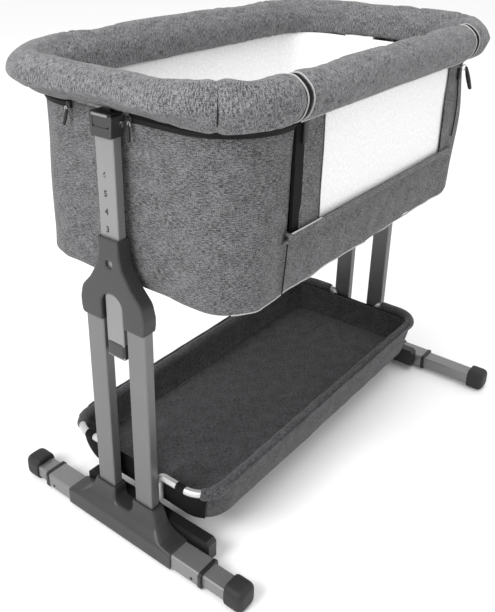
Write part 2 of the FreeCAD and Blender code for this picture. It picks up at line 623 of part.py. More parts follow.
def heads():
    """Clamps on the upper posts: a forked pivot inboard and a release button on the outer face."""
    outer_face = "-post_face - (head_depth - post_thick)"
    form = extrusion("head_form", ALONG_X, (outer_face, "0", "0"), "head_depth",
                     [("-head_foot_half", "mast_top"), ("head_foot_half", "mast_top"),
                      ("head_brow_half", "head_top"), ("-head_brow_half", "head_top")],
                     [("4", (2, 3)), ("2", (0, 1))])
    pivot = "-post_face + pivot_inset"
    slot = block("head_slot", (f"{pivot} - lug_thick / 2 - lug_gap", "-post_face + post_thick + 1"),
                 ("-lug_width / 2 - lug_gap", "lug_width / 2 + lug_gap"),
                 ("pivot_height - lug_drop - lug_gap * 2", "head_top + 1"))
    recess = block("head_recess", (outer_face + " - 1", f"{outer_face} + button_thick + button_travel + 1.1"),
                   ("-button_half - button_gap", "button_half + button_gap"),
                   ("button_foot - button_gap", "head_top + 1"))
    hole = rod("head_hole", ALONG_MINUS_Y, (pivot, "head_brow_half + 1", "pivot_height"),
               "pin_radius + pin_gap", "2 * head_brow_half + 2")
    both_ends(cut("head", form, slot, recess, hole), "head")

    half = "(head_brow_half + pin_gap)"
    shank = rod("pin_shank", ALONG_MINUS_Y, (pivot, half, "pivot_height"), "pin_radius", f"2 * {half}")
    rivets = [rod("pin_head_rear", ALONG_MINUS_Y, (pivot, f"{half} + pin_head", "pivot_height"),
                  "pin_head_radius", "pin_head"),
              rod("pin_head_front", ALONG_MINUS_Y, (pivot, f"-{half}", "pivot_height"),
                  "pin_head_radius", "pin_head")]
    both_ends(fuse("pin", shank, *rivets), "pivot_pin")

    button = extrusion("button", ALONG_X, (f"{outer_face} + button_gap", "0", "0"), "button_thick",
                       [("-button_half", "button_foot"), ("button_half", "button_foot"),
                        ("button_half", "head_top"), ("-button_half", "head_top")],
                       [("6", (0, 1)), ("2", (2, 3))])
    both_ends(button, "release_button")


def lugs():
    """Steel lugs under the rail tube: each hangs on a pivot pin and carries a small saddle plate."""
    pivot = "-post_face + pivot_inset"
    plate = block("lug_plate", (f"{pivot} - lug_thick / 2", f"{pivot} + lug_thick / 2"),
                  ("-lug_width / 2", "lug_width / 2"), ("pivot_height - lug_drop", "rail_height"))
    saddle = block("lug_saddle", ("-post_face - (head_depth - post_thick)", "-post_face + post_thick"),
                   ("-saddle_width / 2", "saddle_width / 2"),
                   ("head_top + saddle_gap", "head_top + saddle_gap + saddle_thick"))
    bore = rod("lug_bore", ALONG_MINUS_Y, (pivot, "lug_width", "pivot_height"),
               "pin_radius + pin_gap", "2 * lug_width")
    bed = rod("lug_bed", ALONG_MINUS_Y, ("-rail_half_length", "lug_width", "rail_height"),
              "rail_tube_radius", "2 * lug_width")
    both_ends(cut("lug", fuse("lug", plate, saddle), bore, bed), "rail_lug")


# ---------------------------------------------------------------- bassinet

def rail_path(gap):
    """The rail's centre line: from the near front joint round the back to the far front joint."""
    half_x = size("rail_half_length")
    half_y = size("rail_half_width")
    height = size("rail_height")
    joint = size("side_half") + gap
    points = [FreeCAD.Vector(-joint, -half_y, height), FreeCAD.Vector(-half_x, -half_y, height),
              FreeCAD.Vector(-half_x, half_y, height), FreeCAD.Vector(half_x, half_y, height),
              FreeCAD.Vector(half_x, -half_y, height), FreeCAD.Vector(joint, -half_y, height)]
    return bent_path(points, [size("rail_corner")] * 4)


def pad_section(start):
    """A round section with a slot from below up over the rail tube, square to the X axis."""
    radius = size("pad_radius")
    slot = size("pad_slot_half")
    core = size("rail_tube_radius") + size("pad_gap")
    drop = math.sqrt(radius ** 2 - slot ** 2)

    def spot(across, up):
        return FreeCAD.Vector(start.x, start.y + across, start.z + up)

    edges = [Part.Arc(spot(slot, -drop), spot(0, radius), spot(-slot, -drop)).toShape(),
             Part.LineSegment(spot(-slot, -drop), spot(-slot, 0)).toShape(),
             Part.Arc(spot(-slot, 0), spot(0, core), spot(slot, 0)).toShape(),
             Part.LineSegment(spot(slot, 0), spot(slot, -drop)).toShape()]
    return Part.Wire(edges)


def within_skirt(name, pad):
    """The padding inside a form that narrows from the rail's widest line down to the body's rim."""
    reach = size("pad_radius") + size("pad_gap")
    waist = (size("rail_half_length") + reach, size("rail_half_width") + reach, size("rail_corner") + reach)
    lip = size("pad_lip")
    foot = (size("body_half_length") + lip, size("body_half_width") + lip, size("body_corner") + lip)
    height = size("rail_height")
    skirt = doc.addObject("Part::Loft", name + "_skirt")
    skirt.Sections = [guide(name + "_foot", rounded_ring(*foot, size("head_top"))),
                      guide(name + "_waist", rounded_ring(*waist, height)),
                      guide(name + "_crown", rounded_ring(*waist, height + reach))]
    skirt.Solid = True
    skirt.Ruled = True
    trimmed = doc.addObject("Part::Common", name)
    trimmed.Base = pad
    trimmed.Tool = skirt
    return trimmed


def rail():
    """The steel rail on three sides of the bassinet, in its padded cover, with a ring at each joint."""
    frame_path = rail_path(size("ring_thick") + 2 * size("ring_gap"))
    node(pipe("rail_tube", frame_path, size("rail_tube_radius"), size("rail_tube_wall")), "rail_frame")
    start = frame_path.Edges[0].firstVertex().Point
    pad = within_skirt("rail_pad", swept("rail_pad_round", frame_path, pad_section(start)))
    lug = "-post_face + pivot_inset"
    notch = block("pad_notch", (f"{lug} - lug_thick / 2 - pad_gap", f"{lug} + lug_thick / 2 + pad_gap"),
                  ("-lug_width / 2 - pad_gap", "lug_width / 2 + pad_gap"),
                  ("head_top", "rail_height"))
    node(cut("rail_pad", pad, notch, mirrored("pad_notch_far", notch, END_NORMAL)), "rail_cover")
    low = "-side_half - ring_gap - ring_thick"
    disc = rod("ring_disc", ALONG_X, (low, "-rail_half_width", "rail_height"), "ring_radius", "ring_thick")
    hole = rod("ring_hole", ALONG_X, (low, "-rail_half_width", "rail_height"),
               "rail_tube_radius + hinge_gap", "ring_thick")
    ring = cut("ring", disc, hole)
    node(group("rings", ring, mirrored("ring_far", ring, END_NORMAL)), "rail_joint_rings")


def body_outline(inset, height):
    """The body's rounded rectangle at a height, moved in by an inset."""
    share = (size("body_top") - height) / (size("body_top") - size("body_floor"))
    return (size("body_half_length") - share * size("body_taper_x") - inset,
            size("body_half_width") - share * size("body_taper_y") - inset,
            size("body_corner") - share * size("body_corner_loss") - inset, height)


def body_form(name, inset, low, high):
    """A slice of the tapering body between two heights, moved in by an inset."""
    return tapered(name, body_outline(inset, low), body_outline(inset, high))


def side_opening(name):
    """The space left in the front wall for the drop side."""
    return block(name, ("-opening_half", "opening_half"), ("-2 * body_half_width", "-body_half_width / 2"),
                 ("opening_floor", "2 * body_top"))


def body():
    """Fabric shell and lining, with the frame loop, board and mattress that lie in it."""
    top = size("body_top")
    floor = size("body_floor")
    thick = size("shell_thick")
    shell = cut("shell", body_form("shell_outer", 0, floor, top),
                body_form("shell_inner", thick, floor + size("shell_base"), top + 1),
                side_opening("shell_window"))
    node(shell, "body_shell")

    inset = size("lining_inset")
    foot = size("lining_foot")
    lining = cut("lining", body_form("lining_outer", inset, foot, top - 1),
                 body_form("lining_inner", inset + size("lining_thick"), foot - 1, top + 1),
                 side_opening("lining_window"))
    node(lining, "inner_lining")

    zip_foot = top + 1 - size("zip_height")
    tape = cut("zip", body_form("zip_outer", -size("zip_gap") - size("zip_thick"), zip_foot, top + 1),
               body_form("zip_inner", -size("zip_gap"), zip_foot - 1, top + 2), side_opening("zip_window"))
    node(tape, "zip_tape")

    height = size("loop_height")
    half_x, half_y, corner, height = body_outline(size("loop_inset"), height)
    loop = rounded_ring(half_x, half_y, corner, height)
    node(pipe("loop", loop, size("loop_radius"), size("loop_wall")), "lower_frame_loop")

    board_foot = height + size("loop_radius") + size("ring_gap")
    board = body_outline(size("board_inset"), board_foot)[:3]
    board_top = board_foot + size("board_thick")
    node(tapered("board", (*board, board_foot), (*board, board_top)), "base_board")

    rest = board_top + size("zip_gap")
    outline = body_outline(size("mattress_inset"), rest)[:3]
    node(tapered("mattress_form", (*outline, rest), (*outline, rest + size("mattress_thick"))), "mattress")


def hinge_rod():
    """The rod that the drop side turns on, carried on three stands along the front wall's edge."""
    half = "side_half + ring_gap"
    bar = rod("hinge_bar", ALONG_X, (f"-({half})", "-rail_half_width", "hinge_height"),
              "hinge_rod_radius", f"2 * ({half})")
    stands = []
    for name, middle in (("near", "-side_half / 2"), ("middle", "0"), ("far", "side_half / 2")):
        stands.append(block("stand_" + name, (f"{middle} - arm_width / 2", f"{middle} + arm_width / 2"),
                            ("-rail_half_width", "-rail_half_width + body_taper_y"),
                            ("opening_floor + zip_gap", "hinge_height + hinge_rod_radius / 2")))
    node(fuse("hinge", bar, *stands), "side_hinge_rod")


# ---------------------------------------------------------------- drop side

def drop_side():
    """The front of the bassinet: a padded rail on two arms, with a mesh window in a fabric border."""
    start = FreeCAD.Vector(-size("side_half"), -size("rail_half_width"), size("rail_height"))
    path = Part.Wire(Part.LineSegment(start, FreeCAD.Vector(size("side_half"), start.y, start.z)).toShape())
    tube = node(pipe("side_tube", path, size("rail_tube_radius"), size("rail_tube_wall")), "side_rail_tube")
    node(within_skirt("side_pad", swept("side_pad_round", path, pad_section(start))), "side_rail_cover")

    arm_near = "-side_half + arm_inset"
    plate = block("arm_plate", (arm_near, f"{arm_near} + arm_width"),
                  ("-rail_half_width - arm_thick / 2", "-rail_half_width + arm_thick / 2"),
                  ("hinge_height", "rail_height - rail_tube_radius / 2"))
    eye = rod("arm_eye", ALONG_X, (arm_near, "-rail_half_width", "hinge_height"), "eye_radius", "arm_width")
    bore = rod("arm_bore", ALONG_X, (arm_near + " - 1", "-rail_half_width", "hinge_height"),
               "hinge_rod_radius + hinge_gap", "arm_width + 2")
    bed = rod("arm_bed", ALONG_X, (arm_near + " - 1", "-rail_half_width", "rail_height"),
              "rail_tube_radius", "arm_width + 2")
    arm = cut("arm", fuse("arm", plate, eye), bore, bed)
    node(group("arms", arm, mirrored("arm_far", arm, END_NORMAL)), "side_arms")

    edge = "side_half - arm_inset - arm_width - zip_gap"
    border = block("border_sheet", (f"-({edge})", edge),
                   ("-rail_half_width - border_thick / 2", "-rail_half_width + border_thick / 2"),
                   ("border_foot", "body_top + 1"))
    window = block("border_window", ("-mesh_near", "mesh_far"),
                   ("-rail_half_width - border_thick", "-rail_half_width + border_thick"),
                   ("mesh_foot", "mesh_top"))
    node(cut("border", border, window), "side_border")
    node(block("mesh_sheet", ("-mesh_near + mesh_gap", "mesh_far - mesh_gap"),
               ("-rail_half_width - mesh_thick / 2", "-rail_half_width + mesh_thick / 2"),
               ("mesh_foot + mesh_gap", "mesh_top - mesh_gap")), "side_mesh")

    middle = "side_half - slider_inset"
    face = "-rail_half_width - arm_thick / 2 - zip_gap"
    slider = block("slider_body", (f"{middle} - 4", f"{middle} + 4"), (f"{face} - 4", face),
                   ("slider_top - slider_height", "slider_top"))
    tab = block("slider_tab", (f"{middle} - 3", f"{middle} + 3"), (f"{face} - 3.5", f"{face} - 1"),
                ("slider_top - slider_height + 1 - pull_length", "slider_top - slider_height + 1"))
    node(fuse("slider", slider, tab), "side_zip_slider")


# ---------------------------------------------------------------- build, check and write

def build():
    for make in (foot_tubes, collars, reach_tubes, shoes, stiffener_bars, lower_posts, yokes, basket,
                 upper_posts, heads, lugs, rail, body, hinge_rod, drop_side):
        make()
    doc.recompute()


def check():
    """Stop before anything is written if a step failed or a sub-part has no sound solid."""
    for thing in doc.Objects:
        if "Invalid" in thing.State or "Error" in thing.State:
            raise RuntimeError(f"{thing.Name} failed: {thing.State}")
    for name, thing in NODES.items():
        if thing.Shape.isNull() or not thing.Shape.isValid() or not thing.Shape.Solids:
            raise RuntimeError(f"{name} has no valid solid")
        print(f"{name}: {len(thing.Shape.Solids)} solid, {thing.Shape.Volume / 1000:.1f} cm3")


def write():
    os.makedirs("parts", exist_ok=True)
    for name, thing in NODES.items():
        thing.Shape.exportStep(f"parts/{name}.step")


build()
check()
write()
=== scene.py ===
"""Bassinet on a height-adjustable stand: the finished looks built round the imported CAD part.

Everything is in metres in the part's own frame. -X is the near end, -Y the side that folds down.
Soft goods are surfaces worked out as whole arrays; hard parts keep their CAD shape and get finishes.
"""
import json
import math

import bmesh
import bpy
import numpy as np
from mathutils import Matrix, Vector


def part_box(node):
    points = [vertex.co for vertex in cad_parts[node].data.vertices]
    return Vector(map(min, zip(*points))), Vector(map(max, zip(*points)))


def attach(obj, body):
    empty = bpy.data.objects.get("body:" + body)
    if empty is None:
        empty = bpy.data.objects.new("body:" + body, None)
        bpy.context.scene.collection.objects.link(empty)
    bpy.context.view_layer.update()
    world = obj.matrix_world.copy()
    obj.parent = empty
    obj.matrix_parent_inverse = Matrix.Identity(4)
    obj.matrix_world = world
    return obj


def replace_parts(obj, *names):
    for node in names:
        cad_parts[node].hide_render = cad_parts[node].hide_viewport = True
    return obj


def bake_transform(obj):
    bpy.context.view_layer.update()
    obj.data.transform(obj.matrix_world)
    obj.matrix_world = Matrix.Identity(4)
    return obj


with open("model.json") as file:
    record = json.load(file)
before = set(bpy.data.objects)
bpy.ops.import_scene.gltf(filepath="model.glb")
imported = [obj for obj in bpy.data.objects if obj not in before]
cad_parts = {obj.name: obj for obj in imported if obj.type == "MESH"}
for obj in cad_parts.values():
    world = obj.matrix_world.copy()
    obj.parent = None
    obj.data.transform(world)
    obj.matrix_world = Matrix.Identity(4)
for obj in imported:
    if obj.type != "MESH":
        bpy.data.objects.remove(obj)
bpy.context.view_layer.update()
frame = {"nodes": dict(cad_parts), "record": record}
TURN = 2 * math.pi

# Sizes shared by several pieces, as in the CAD part apart from the near edge of the opening.
RAIL_HALF_X, RAIL_HALF_Y, RAIL_CORNER, RAIL_Z, PAD = 0.420, 0.225, 0.115, 0.811, 0.035
BODY_HALF_X, BODY_HALF_Y, BODY_CORNER = 0.394, 0.225, 0.112
BODY_TOP, BODY_FLOOR = 0.7755, 0.490
OPENING_FAR, OPENING_NEAR = 0.2905, 0.2702  # how far the opening for the folding side reaches from the middle
POCKET_Z = 0.6045                           # top edge of the fixed front panel


# ---------------------------------------------------------------- arrays
def stacked(*parts):
    """Arrays brought to one shape and stacked on a last axis: points from x, y, z, or a map from u, v."""
    return np.stack(np.broadcast_arrays(*parts), -1)


def soft_noise(u, v, cell_u, cell_v, seed):
    """Smooth random field: random heights on a lattice, eased between its points by 3t^2 - 2t^3. The lattice
    starts some cells below zero and repeats after count cells."""
    count, start = 257, 40
    table = np.random.default_rng(seed).uniform(-1, 1, (count, count))
    x, y = np.asarray(u) / cell_u + start, np.asarray(v) / cell_v + start
    i, j = np.floor(x).astype(int), np.floor(y).astype(int)
    a, b = x - i, y - j
    a, b = a * a * (3 - 2 * a), b * b * (3 - 2 * b)
    i, j, i_next, j_next = i % count, j % count, (i + 1) % count, (j + 1) % count
    low = table[i, j] * (1 - a) + table[i_next, j] * a
    high = table[i, j_next] * (1 - a) + table[i_next, j_next] * a
    return low * (1 - b) + high * b


def creases(u, v, cell_u, cell_v, seed):
    """Narrow folds: one minus the size of a smooth random field, to the power four, so it peaks where the
    field crosses zero."""
    return (1 - np.abs(soft_noise(u, v, cell_u, cell_v, seed))) ** 4


def bump_at(x, centre, width):
    """A bell: e to the minus ((x - centre) / width) squared."""
    return np.exp(-((x - centre) / width) ** 2)


def ease(x, low, high):
    """0 below low, 1 above high, and 3t^2 - 2t^3 between them."""
    t = np.clip((x - low) / (high - low), 0, 1)
    return t * t * (3 - 2 * t)


def ring_knots(half_x, half_y, corner):
    """Arc length at the joins of straights and arcs of a rounded rectangle, from the middle of its front."""
    a, b, q = half_x - corner, half_y - corner, corner * math.pi / 2
    return np.cumsum([0, a, q, 2 * b, q, 2 * a, q, 2 * b, q, a])


def ring_turn(s, knots):
    """At arc length s, the share of the way out from the middle to the corner centres, in x and in y, and the
    angle of the outward normal, which is constant on a straight and grows evenly round a corner."""
    s = np.mod(s, knots[-1])
    sign_x = np.interp(s, knots, [0, 1, 1, 1, 1, -1, -1, -1, -1, 0])
    sign_y = np.interp(s, knots, [-1, -1, -1, 1, 1, 1, 1, -1, -1, -1])
    return sign_x, sign_y, np.radians(np.interp(s, knots, [-90, -90, 0, 0, 90, 90, 180, 180, 270, 270]))


def ring(s, half_x, half_y, corner, knots, offset=0.0):
    """Point and outward normal at arc length s: a corner centre that slides along the straights, plus the
    corner radius and the offset times the normal."""
    sign_x, sign_y, angle = ring_turn(s, knots)
    nx, ny = np.cos(angle), np.sin(angle)
    reach = corner + offset
    return (half_x - corner) * sign_x + reach * nx, (half_y - corner) * sign_y + reach * ny, nx, ny


RAIL_KNOTS = ring_knots(RAIL_HALF_X, RAIL_HALF_Y, RAIL_CORNER)
RAIL_LENGTH = RAIL_KNOTS[-1]
BODY_KNOTS = ring_knots(BODY_HALF_X, BODY_HALF_Y, BODY_CORNER)
BODY_LENGTH = BODY_KNOTS[-1]


def body_outline(z):
    """Half length, half width and corner radius of the body at height z: all shrink evenly downwards."""
    t = (BODY_TOP - z) / (BODY_TOP - BODY_FLOOR)
    return BODY_HALF_X - 0.008 * t, BODY_HALF_Y - 0.011 * t, BODY_CORNER - 0.037 * t


def body_point(s, z, offset=0.0):
    """Point on the body's outside, offset outwards, at arc length s of the rim and height z. Up to flat along
    the front wall s is scaled by the rim's straight over the straight at z, so a point keeps its x at every
    height. What that takes away is given back evenly between flat and kept."""
    flat, kept = 0.274, 0.56
    half_x, half_y, corner = body_outline(np.asarray(z, float))
    s = from_front(np.asarray(s, float))
    size, share = np.abs(s), (BODY_HALF_X - BODY_CORNER) / (half_x - corner)
    giving_back = flat * share + (size - flat) * (kept - flat * share) / (kept - flat)
    s = np.sign(s) * np.where(size < flat, size * share, np.where(size < kept, giving_back, size))
    x, y, _, _ = ring(s, half_x, half_y, corner, BODY_KNOTS, offset)
    return stacked(x, y, z)


def from_front(s):
    """Arc length of the rim counted from the middle of the front, up to half the rim either way."""
    return np.mod(s + BODY_LENGTH / 2, BODY_LENGTH) - BODY_LENGTH / 2


def end_at(y, far=False):
    """Arc length of the rim at a distance y across the near, or the far, end."""
    middle = (BODY_KNOTS[2] + BODY_KNOTS[3]) / 2 if far else (BODY_KNOTS[6] + BODY_KNOTS[7]) / 2
    return middle + y if far else middle - y


# ---------------------------------------------------------------- meshes
def placed(name, data):
    """A new object in the scene."""
    obj = bpy.data.objects.new(name, data)
    bpy.context.scene.collection.objects.link(obj)
    return obj


def surface(name, points, uv=None, wrap=(False, False), keep=None, flip=False):
    """A grid of points (rows, columns, 3) as quads. wrap closes rows or columns, keep is a mask of quads."""
    rows, cols = points.shape[:2]
    quad_rows, quad_cols = rows - 1 + wrap[0], cols - 1 + wrap[1]
    i, j = np.meshgrid(np.arange(quad_rows), np.arange(quad_cols), indexing="ij")
    around = [(i, j), (i, j + 1), (i + 1, j + 1), (i + 1, j)]
    if flip:
        around.reverse()
    corner_rows = np.stack([c[0] for c in around], -1)
    corner_cols = np.stack([c[1] for c in around], -1)
    index = (corner_rows % rows) * cols + corner_cols % cols
    if keep is not None:
        index, corner_rows, corner_cols = index[keep], corner_rows[keep], corner_cols[keep]
    index = index.reshape(-1, 4)
    used, packed = np.unique(index, return_inverse=True)
    mesh = bpy.data.meshes.new(name)
    mesh.from_pydata(points.reshape(-1, 3)[used].tolist(), [], packed.reshape(-1, 4).tolist())
    if uv is not None:
        layer = mesh.uv_layers.new(name="cloth")
        picked = uv[corner_rows.reshape(-1), corner_cols.reshape(-1)]
        layer.data.foreach_set("uv", picked.astype(np.float32).reshape(-1))
    mesh.polygons.foreach_set("use_smooth", np.ones(len(mesh.polygons), bool))
    return placed(name, mesh)


def finish_piece(obj, body, slot, material, replaces=()):
    """Gives a new piece its finish, its body and the CAD nodes it stands for. The slot is not used."""
    obj.data.materials.clear()
    obj.data.materials.append(material)
    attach(obj, body)
    if replaces:
        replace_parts(obj, *replaces)
    return obj


def modify(obj, kind, **settings):
    """Adds a modifier with these settings."""
    step = obj.modifiers.new(kind.lower(), kind)
    for key, value in settings.items():
        setattr(step, key, value)
    return step


def thicken(obj, thickness, offset=-1.0):
    """Turns a sheet into cloth of real thickness, inwards from its drawn face."""
    modify(obj, "SOLIDIFY", thickness=thickness, offset=offset, use_even_offset=False)
    return obj


def subdivide(obj):
    """Smooths a piece by splitting its faces once."""
    modify(obj, "SUBSURF", levels=1, render_levels=1)
    return obj


def bake_modifiers(obj):
    """Replaces the mesh by what its modifiers make of it."""
    graph = bpy.context.evaluated_depsgraph_get()
    made = bpy.data.meshes.new_from_object(obj.evaluated_get(graph), depsgraph=graph)
    obj.modifiers.clear()
    obj.data = made
    return obj


def turn_faces_out(obj, merge=None):
    """Turns the faces of a closed piece outwards, after merging points that lie closer than merge."""
    work = bmesh.new()
    work.from_mesh(obj.data)
    if merge:
        bmesh.ops.remove_doubles(work, verts=work.verts, dist=merge)
    bmesh.ops.recalc_face_normals(work, faces=work.faces)
    work.to_mesh(obj.data)
    work.free()
    return obj


def frames_along(path, closed):
    """Tangents of a path of points, a level side square to each, and the side square to both."""
    ahead = np.roll(path, -1, 0) - np.roll(path, 1, 0)
    if not closed:
        ahead[0], ahead[-1] = path[1] - path[0], path[-1] - path[-2]
    tangent = ahead / np.linalg.norm(ahead, axis=1, keepdims=True)
    lean = np.where(np.abs(tangent[:, 2:3]) > 0.9, np.array([[1.0, 0, 0]]), np.array([[0, 0, 1.0]]))
    side = np.cross(tangent, lean)
    side /= np.linalg.norm(side, axis=1, keepdims=True)
    return tangent, side, np.cross(side, tangent)


def tube(name, path, radius, around=12, closed=False, squeeze=1.0):
    """A round section carried along a path: centre plus radius times (cos of one side + sin of the other).
    Open ends taper to a point through five more rings, set as on a half circle."""
    path = np.asarray(path, float)
    tangent, side, up = frames_along(path, closed)
    angle = np.arange(around) / around * TURN
    size = np.full(len(path), radius) if np.isscalar(radius) else np.asarray(radius, float)
    if not closed:
        lead = np.array([1.0, 0.92, 0.7, 0.38, 0.0])
        shrink = np.array([0.02, 0.38, 0.7, 0.92, 1.0])
        path = np.concatenate([path[:1] - tangent[:1] * (lead[:, None] * size[0]), path,
                               path[-1:] + tangent[-1:] * (lead[::-1, None] * size[-1])])
        size = np.concatenate([shrink * size[0], size, shrink[::-1] * size[-1]])
        side, up = (np.pad(axis, ((len(lead), len(lead)), (0, 0)), "edge") for axis in (side, up))
    points = (path[:, None] + size[:, None, None] * (np.cos(angle)[None, :, None] * side[:, None]
              + squeeze * np.sin(angle)[None, :, None] * up[:, None]))
    length = np.concatenate([[0], np.cumsum(np.linalg.norm(np.diff(path, axis=0), axis=1))])
    uv = np.stack(np.meshgrid(np.append(length, length[-1] + 0.001), np.arange(around + 1) / around
                              * TURN * np.mean(size), indexing="ij"), -1)
    return turn_faces_out(surface(name, points, uv, wrap=(closed, True)), 1e-7)


def slab(name, low, high, rounding):
    """A box with rounded edges: its eight corners, bevelled."""
    x, y, z = zip(low, high)
    corners = [(x[i], y[j], z[k]) for i in (0, 1) for j in (0, 1) for k in (0, 1)]
    faces = [(0, 1, 3, 2), (4, 6, 7, 5), (0, 4, 5, 1), (2, 3, 7, 6), (0, 2, 6, 4), (1, 5, 7, 3)]
    mesh = bpy.data.meshes.new(name)
    mesh.from_pydata(corners, [], faces)
    mesh.polygons.foreach_set("use_smooth", np.ones(len(faces), bool))
    obj = placed(name, mesh)
    modify(obj, "BEVEL", width=rounding, segments=3, limit_method="NONE")
    modify(obj, "WEIGHTED_NORMAL", keep_sharp=True)
    return bake_modifiers(obj)


# ---------------------------------------------------------------- shader groups
def add(tree, kind, inputs=None, **settings):
    """One node, with its settings and its inputs: a socket is linked, anything else is a value."""
    node = tree.nodes.new(kind)
    for key, value in settings.items():
        setattr(node, key, value)
    for key, value in (inputs or {}).items():
        if isinstance(value, bpy.types.NodeSocket):
            tree.links.new(value, node.inputs[key])
        else:
            node.inputs[key].default_value = value
    return node


def maths(tree, operation, a, b=0.0, c=0.0):
    """One sum on numbers or sockets."""
    return add(tree, "ShaderNodeMath", {0: a, 1: b, 2: c}, operation=operation).outputs[0]


def plus(tree, a, b):
    """a + b."""
    return maths(tree, "ADD", a, b)


def times(tree, a, b):
    """a * b."""
    return maths(tree, "MULTIPLY", a, b)


def spread(tree, value, low, high, to_low=0.0, to_high=1.0):
    """Stretches a value's range, held at both ends."""
    return add(tree, "ShaderNodeMapRange", {"Value": value, "From Min": low, "From Max": high,
                                            "To Min": to_low, "To Max": to_high}).outputs[0]


def stretched_noise(tree, vector, scale, detail=2.0, rough=0.5):
    """Noise whose grain is 1/scale metres long on each axis."""
    moved = add(tree, "ShaderNodeVectorMath", {0: vector, 1: scale}, operation="MULTIPLY")
    return add(tree, "ShaderNodeTexNoise", {"Vector": moved.outputs[0], "Scale": 1.0, "Detail": detail,
                                            "Roughness": rough}).outputs["Fac"]


def blend_colour(tree, factor, a, b):
    """Colour a at factor 0, colour b at factor 1."""
    node = add(tree, "ShaderNodeMix", data_type="RGBA", blend_type="MIX")
    for socket, value in ((0, factor), (6, a), (7, b)):
        if isinstance(value, bpy.types.NodeSocket):
            tree.links.new(value, node.inputs[socket])
        else:
            node.inputs[socket].default_value = value
    return node.outputs[2]


FLOAT, COLOUR, VECTOR = "NodeSocketFloat", "NodeSocketColor", "NodeSocketVector"


def new_group(name, inputs):
    """A shader node group that takes a place and these (name, kind, default) inputs."""
    tree = bpy.data.node_groups.new(name, "ShaderNodeTree")
    tree.interface.new_socket(name="Vector", in_out="INPUT", socket_type=VECTOR)
    for label, kind, default in inputs:
        tree.interface.new_socket(name=label, in_out="INPUT", socket_type=kind).default_value = default
    return tree, tree.nodes.new("NodeGroupInput").outputs


def close_group(tree, colour, height, roughness):
    """Gives a group its three results: a colour, a height for the bump, and a roughness."""
    results = (("Color", COLOUR, colour), ("Height", FLOAT, height), ("Roughness", FLOAT, roughness))
    for label, kind, _ in results:
        tree.interface.new_socket(name=label, in_out="OUTPUT", socket_type=kind)
    out = tree.nodes.new("NodeGroupOutput")
    for label, _, socket in results:
        tree.links.new(socket, out.inputs[label])
    return tree


def shaded(tree, base, shade):
    """A colour made lighter or darker by a factor."""
    return add(tree, "ShaderNodeVectorMath", {0: base, "Scale": shade}, operation="SCALE").outputs[0]


def crossed_waves(tree, vector, thread_u, thread_v):
    """Two sets of threads crossing: the sine of u times the sine of v."""
    parts = add(tree, "ShaderNodeSeparateXYZ", {0: vector}).outputs
    waves = [maths(tree, "SINE", times(tree, part, thread))
             for part, thread in ((parts[0], thread_u), (parts[1], thread_v))]
    return times(tree, *waves)


def melange_group():
    """Two-tone linen: slubs of light yarn along both threads over a dark ground, in a plain weave."""
    tree, given = new_group("melange", [("Dark", COLOUR, (.1, .1, .1, 1)), ("Light", COLOUR, (.3, .3, .3, 1)),
                                        ("Weft", FLOAT, 0.6), ("Contrast", FLOAT, 1.0)])
    vector = given["Vector"]
    across = stretched_noise(tree, vector, (140, 640, 300), 2, 0.6)
    down = stretched_noise(tree, vector, (640, 140, 300), 2, 0.6)
    cloud = stretched_noise(tree, vector, (38, 46, 40), 2, 0.5)
    speck = stretched_noise(tree, vector, (760, 700, 720), 1, 0.5)
    yarn = add(tree, "ShaderNodeMix", {0: given["Weft"], 2: down, 3: across}, data_type="FLOAT").outputs[0]
    tone = plus(tree, times(tree, yarn, 0.66), times(tree, speck, 0.34))
    tone = plus(tree, tone, times(tree, maths(tree, "SUBTRACT", cloud, 0.5), 0.12))
    half = maths(tree, "DIVIDE", 0.080, given["Contrast"])
    share = spread(tree, tone, maths(tree, "SUBTRACT", 0.5, half), plus(tree, 0.5, half))
    colour = blend_colour(tree, share, given["Dark"], given["Light"])
    thread = TURN / 0.0016
    weave = crossed_waves(tree, vector, thread, thread)
    height = plus(tree, times(tree, weave, 0.22), times(tree, tone, 1.6))
    return close_group(tree, colour, height, spread(tree, tone, 0.3, 0.7, 0.96, 0.82))


def moulded_group():
    """Moulded plastic or rubber: fine leather-like grain, faint flow marks, dust in the grain."""
    tree, given = new_group("moulded", [("Base", COLOUR, (.1, .1, .1, 1)), ("Gloss", FLOAT, 0.5),
                                        ("Grain", FLOAT, 1.0)])
    vector = given["Vector"]
    cells = add(tree, "ShaderNodeTexVoronoi", {"Vector": vector, "Scale": 900.0}, feature="SMOOTH_F1")
    flow = stretched_noise(tree, vector, (14, 14, 9), 3, 0.55)
    fine = stretched_noise(tree, vector, (700, 700, 700), 2)
    shade = plus(tree, spread(tree, flow, 0.3, 0.7, 0.9, 1.1), spread(tree, fine, 0.3, 0.7, -0.05, 0.05))
    height = times(tree, plus(tree, cells.outputs[0], times(tree, fine, 0.5)), given["Grain"])
    rough = plus(tree, given["Gloss"], spread(tree, flow, 0.3, 0.7, -0.06, 0.07))
    return close_group(tree, shaded(tree, given["Base"], shade), height, rough)


def drawn_metal_group():
    """Drawn or brushed metal: long fine lines along the tube, faint clouding in the anodising."""
    tree, given = new_group("drawn_metal", [("Base", COLOUR, (.6, .6, .6, 1)),
                                            ("Along", VECTOR, (900, 900, 6)), ("Gloss", FLOAT, 0.4)])
    lines = stretched_noise(tree, given["Vector"], given["Along"], 4.0)
    cloud = stretched_noise(tree, given["Vector"], (11, 11, 7), 3)
    shade = plus(tree, spread(tree, lines, 0.3, 0.7, 0.94, 1.05), spread(tree, cloud, 0.3, 0.7, -0.04, 0.04))
    rough = plus(tree, given["Gloss"], spread(tree, lines, 0.3, 0.7, -0.07, 0.09))
    return close_group(tree, shaded(tree, given["Base"], shade), lines, rough)


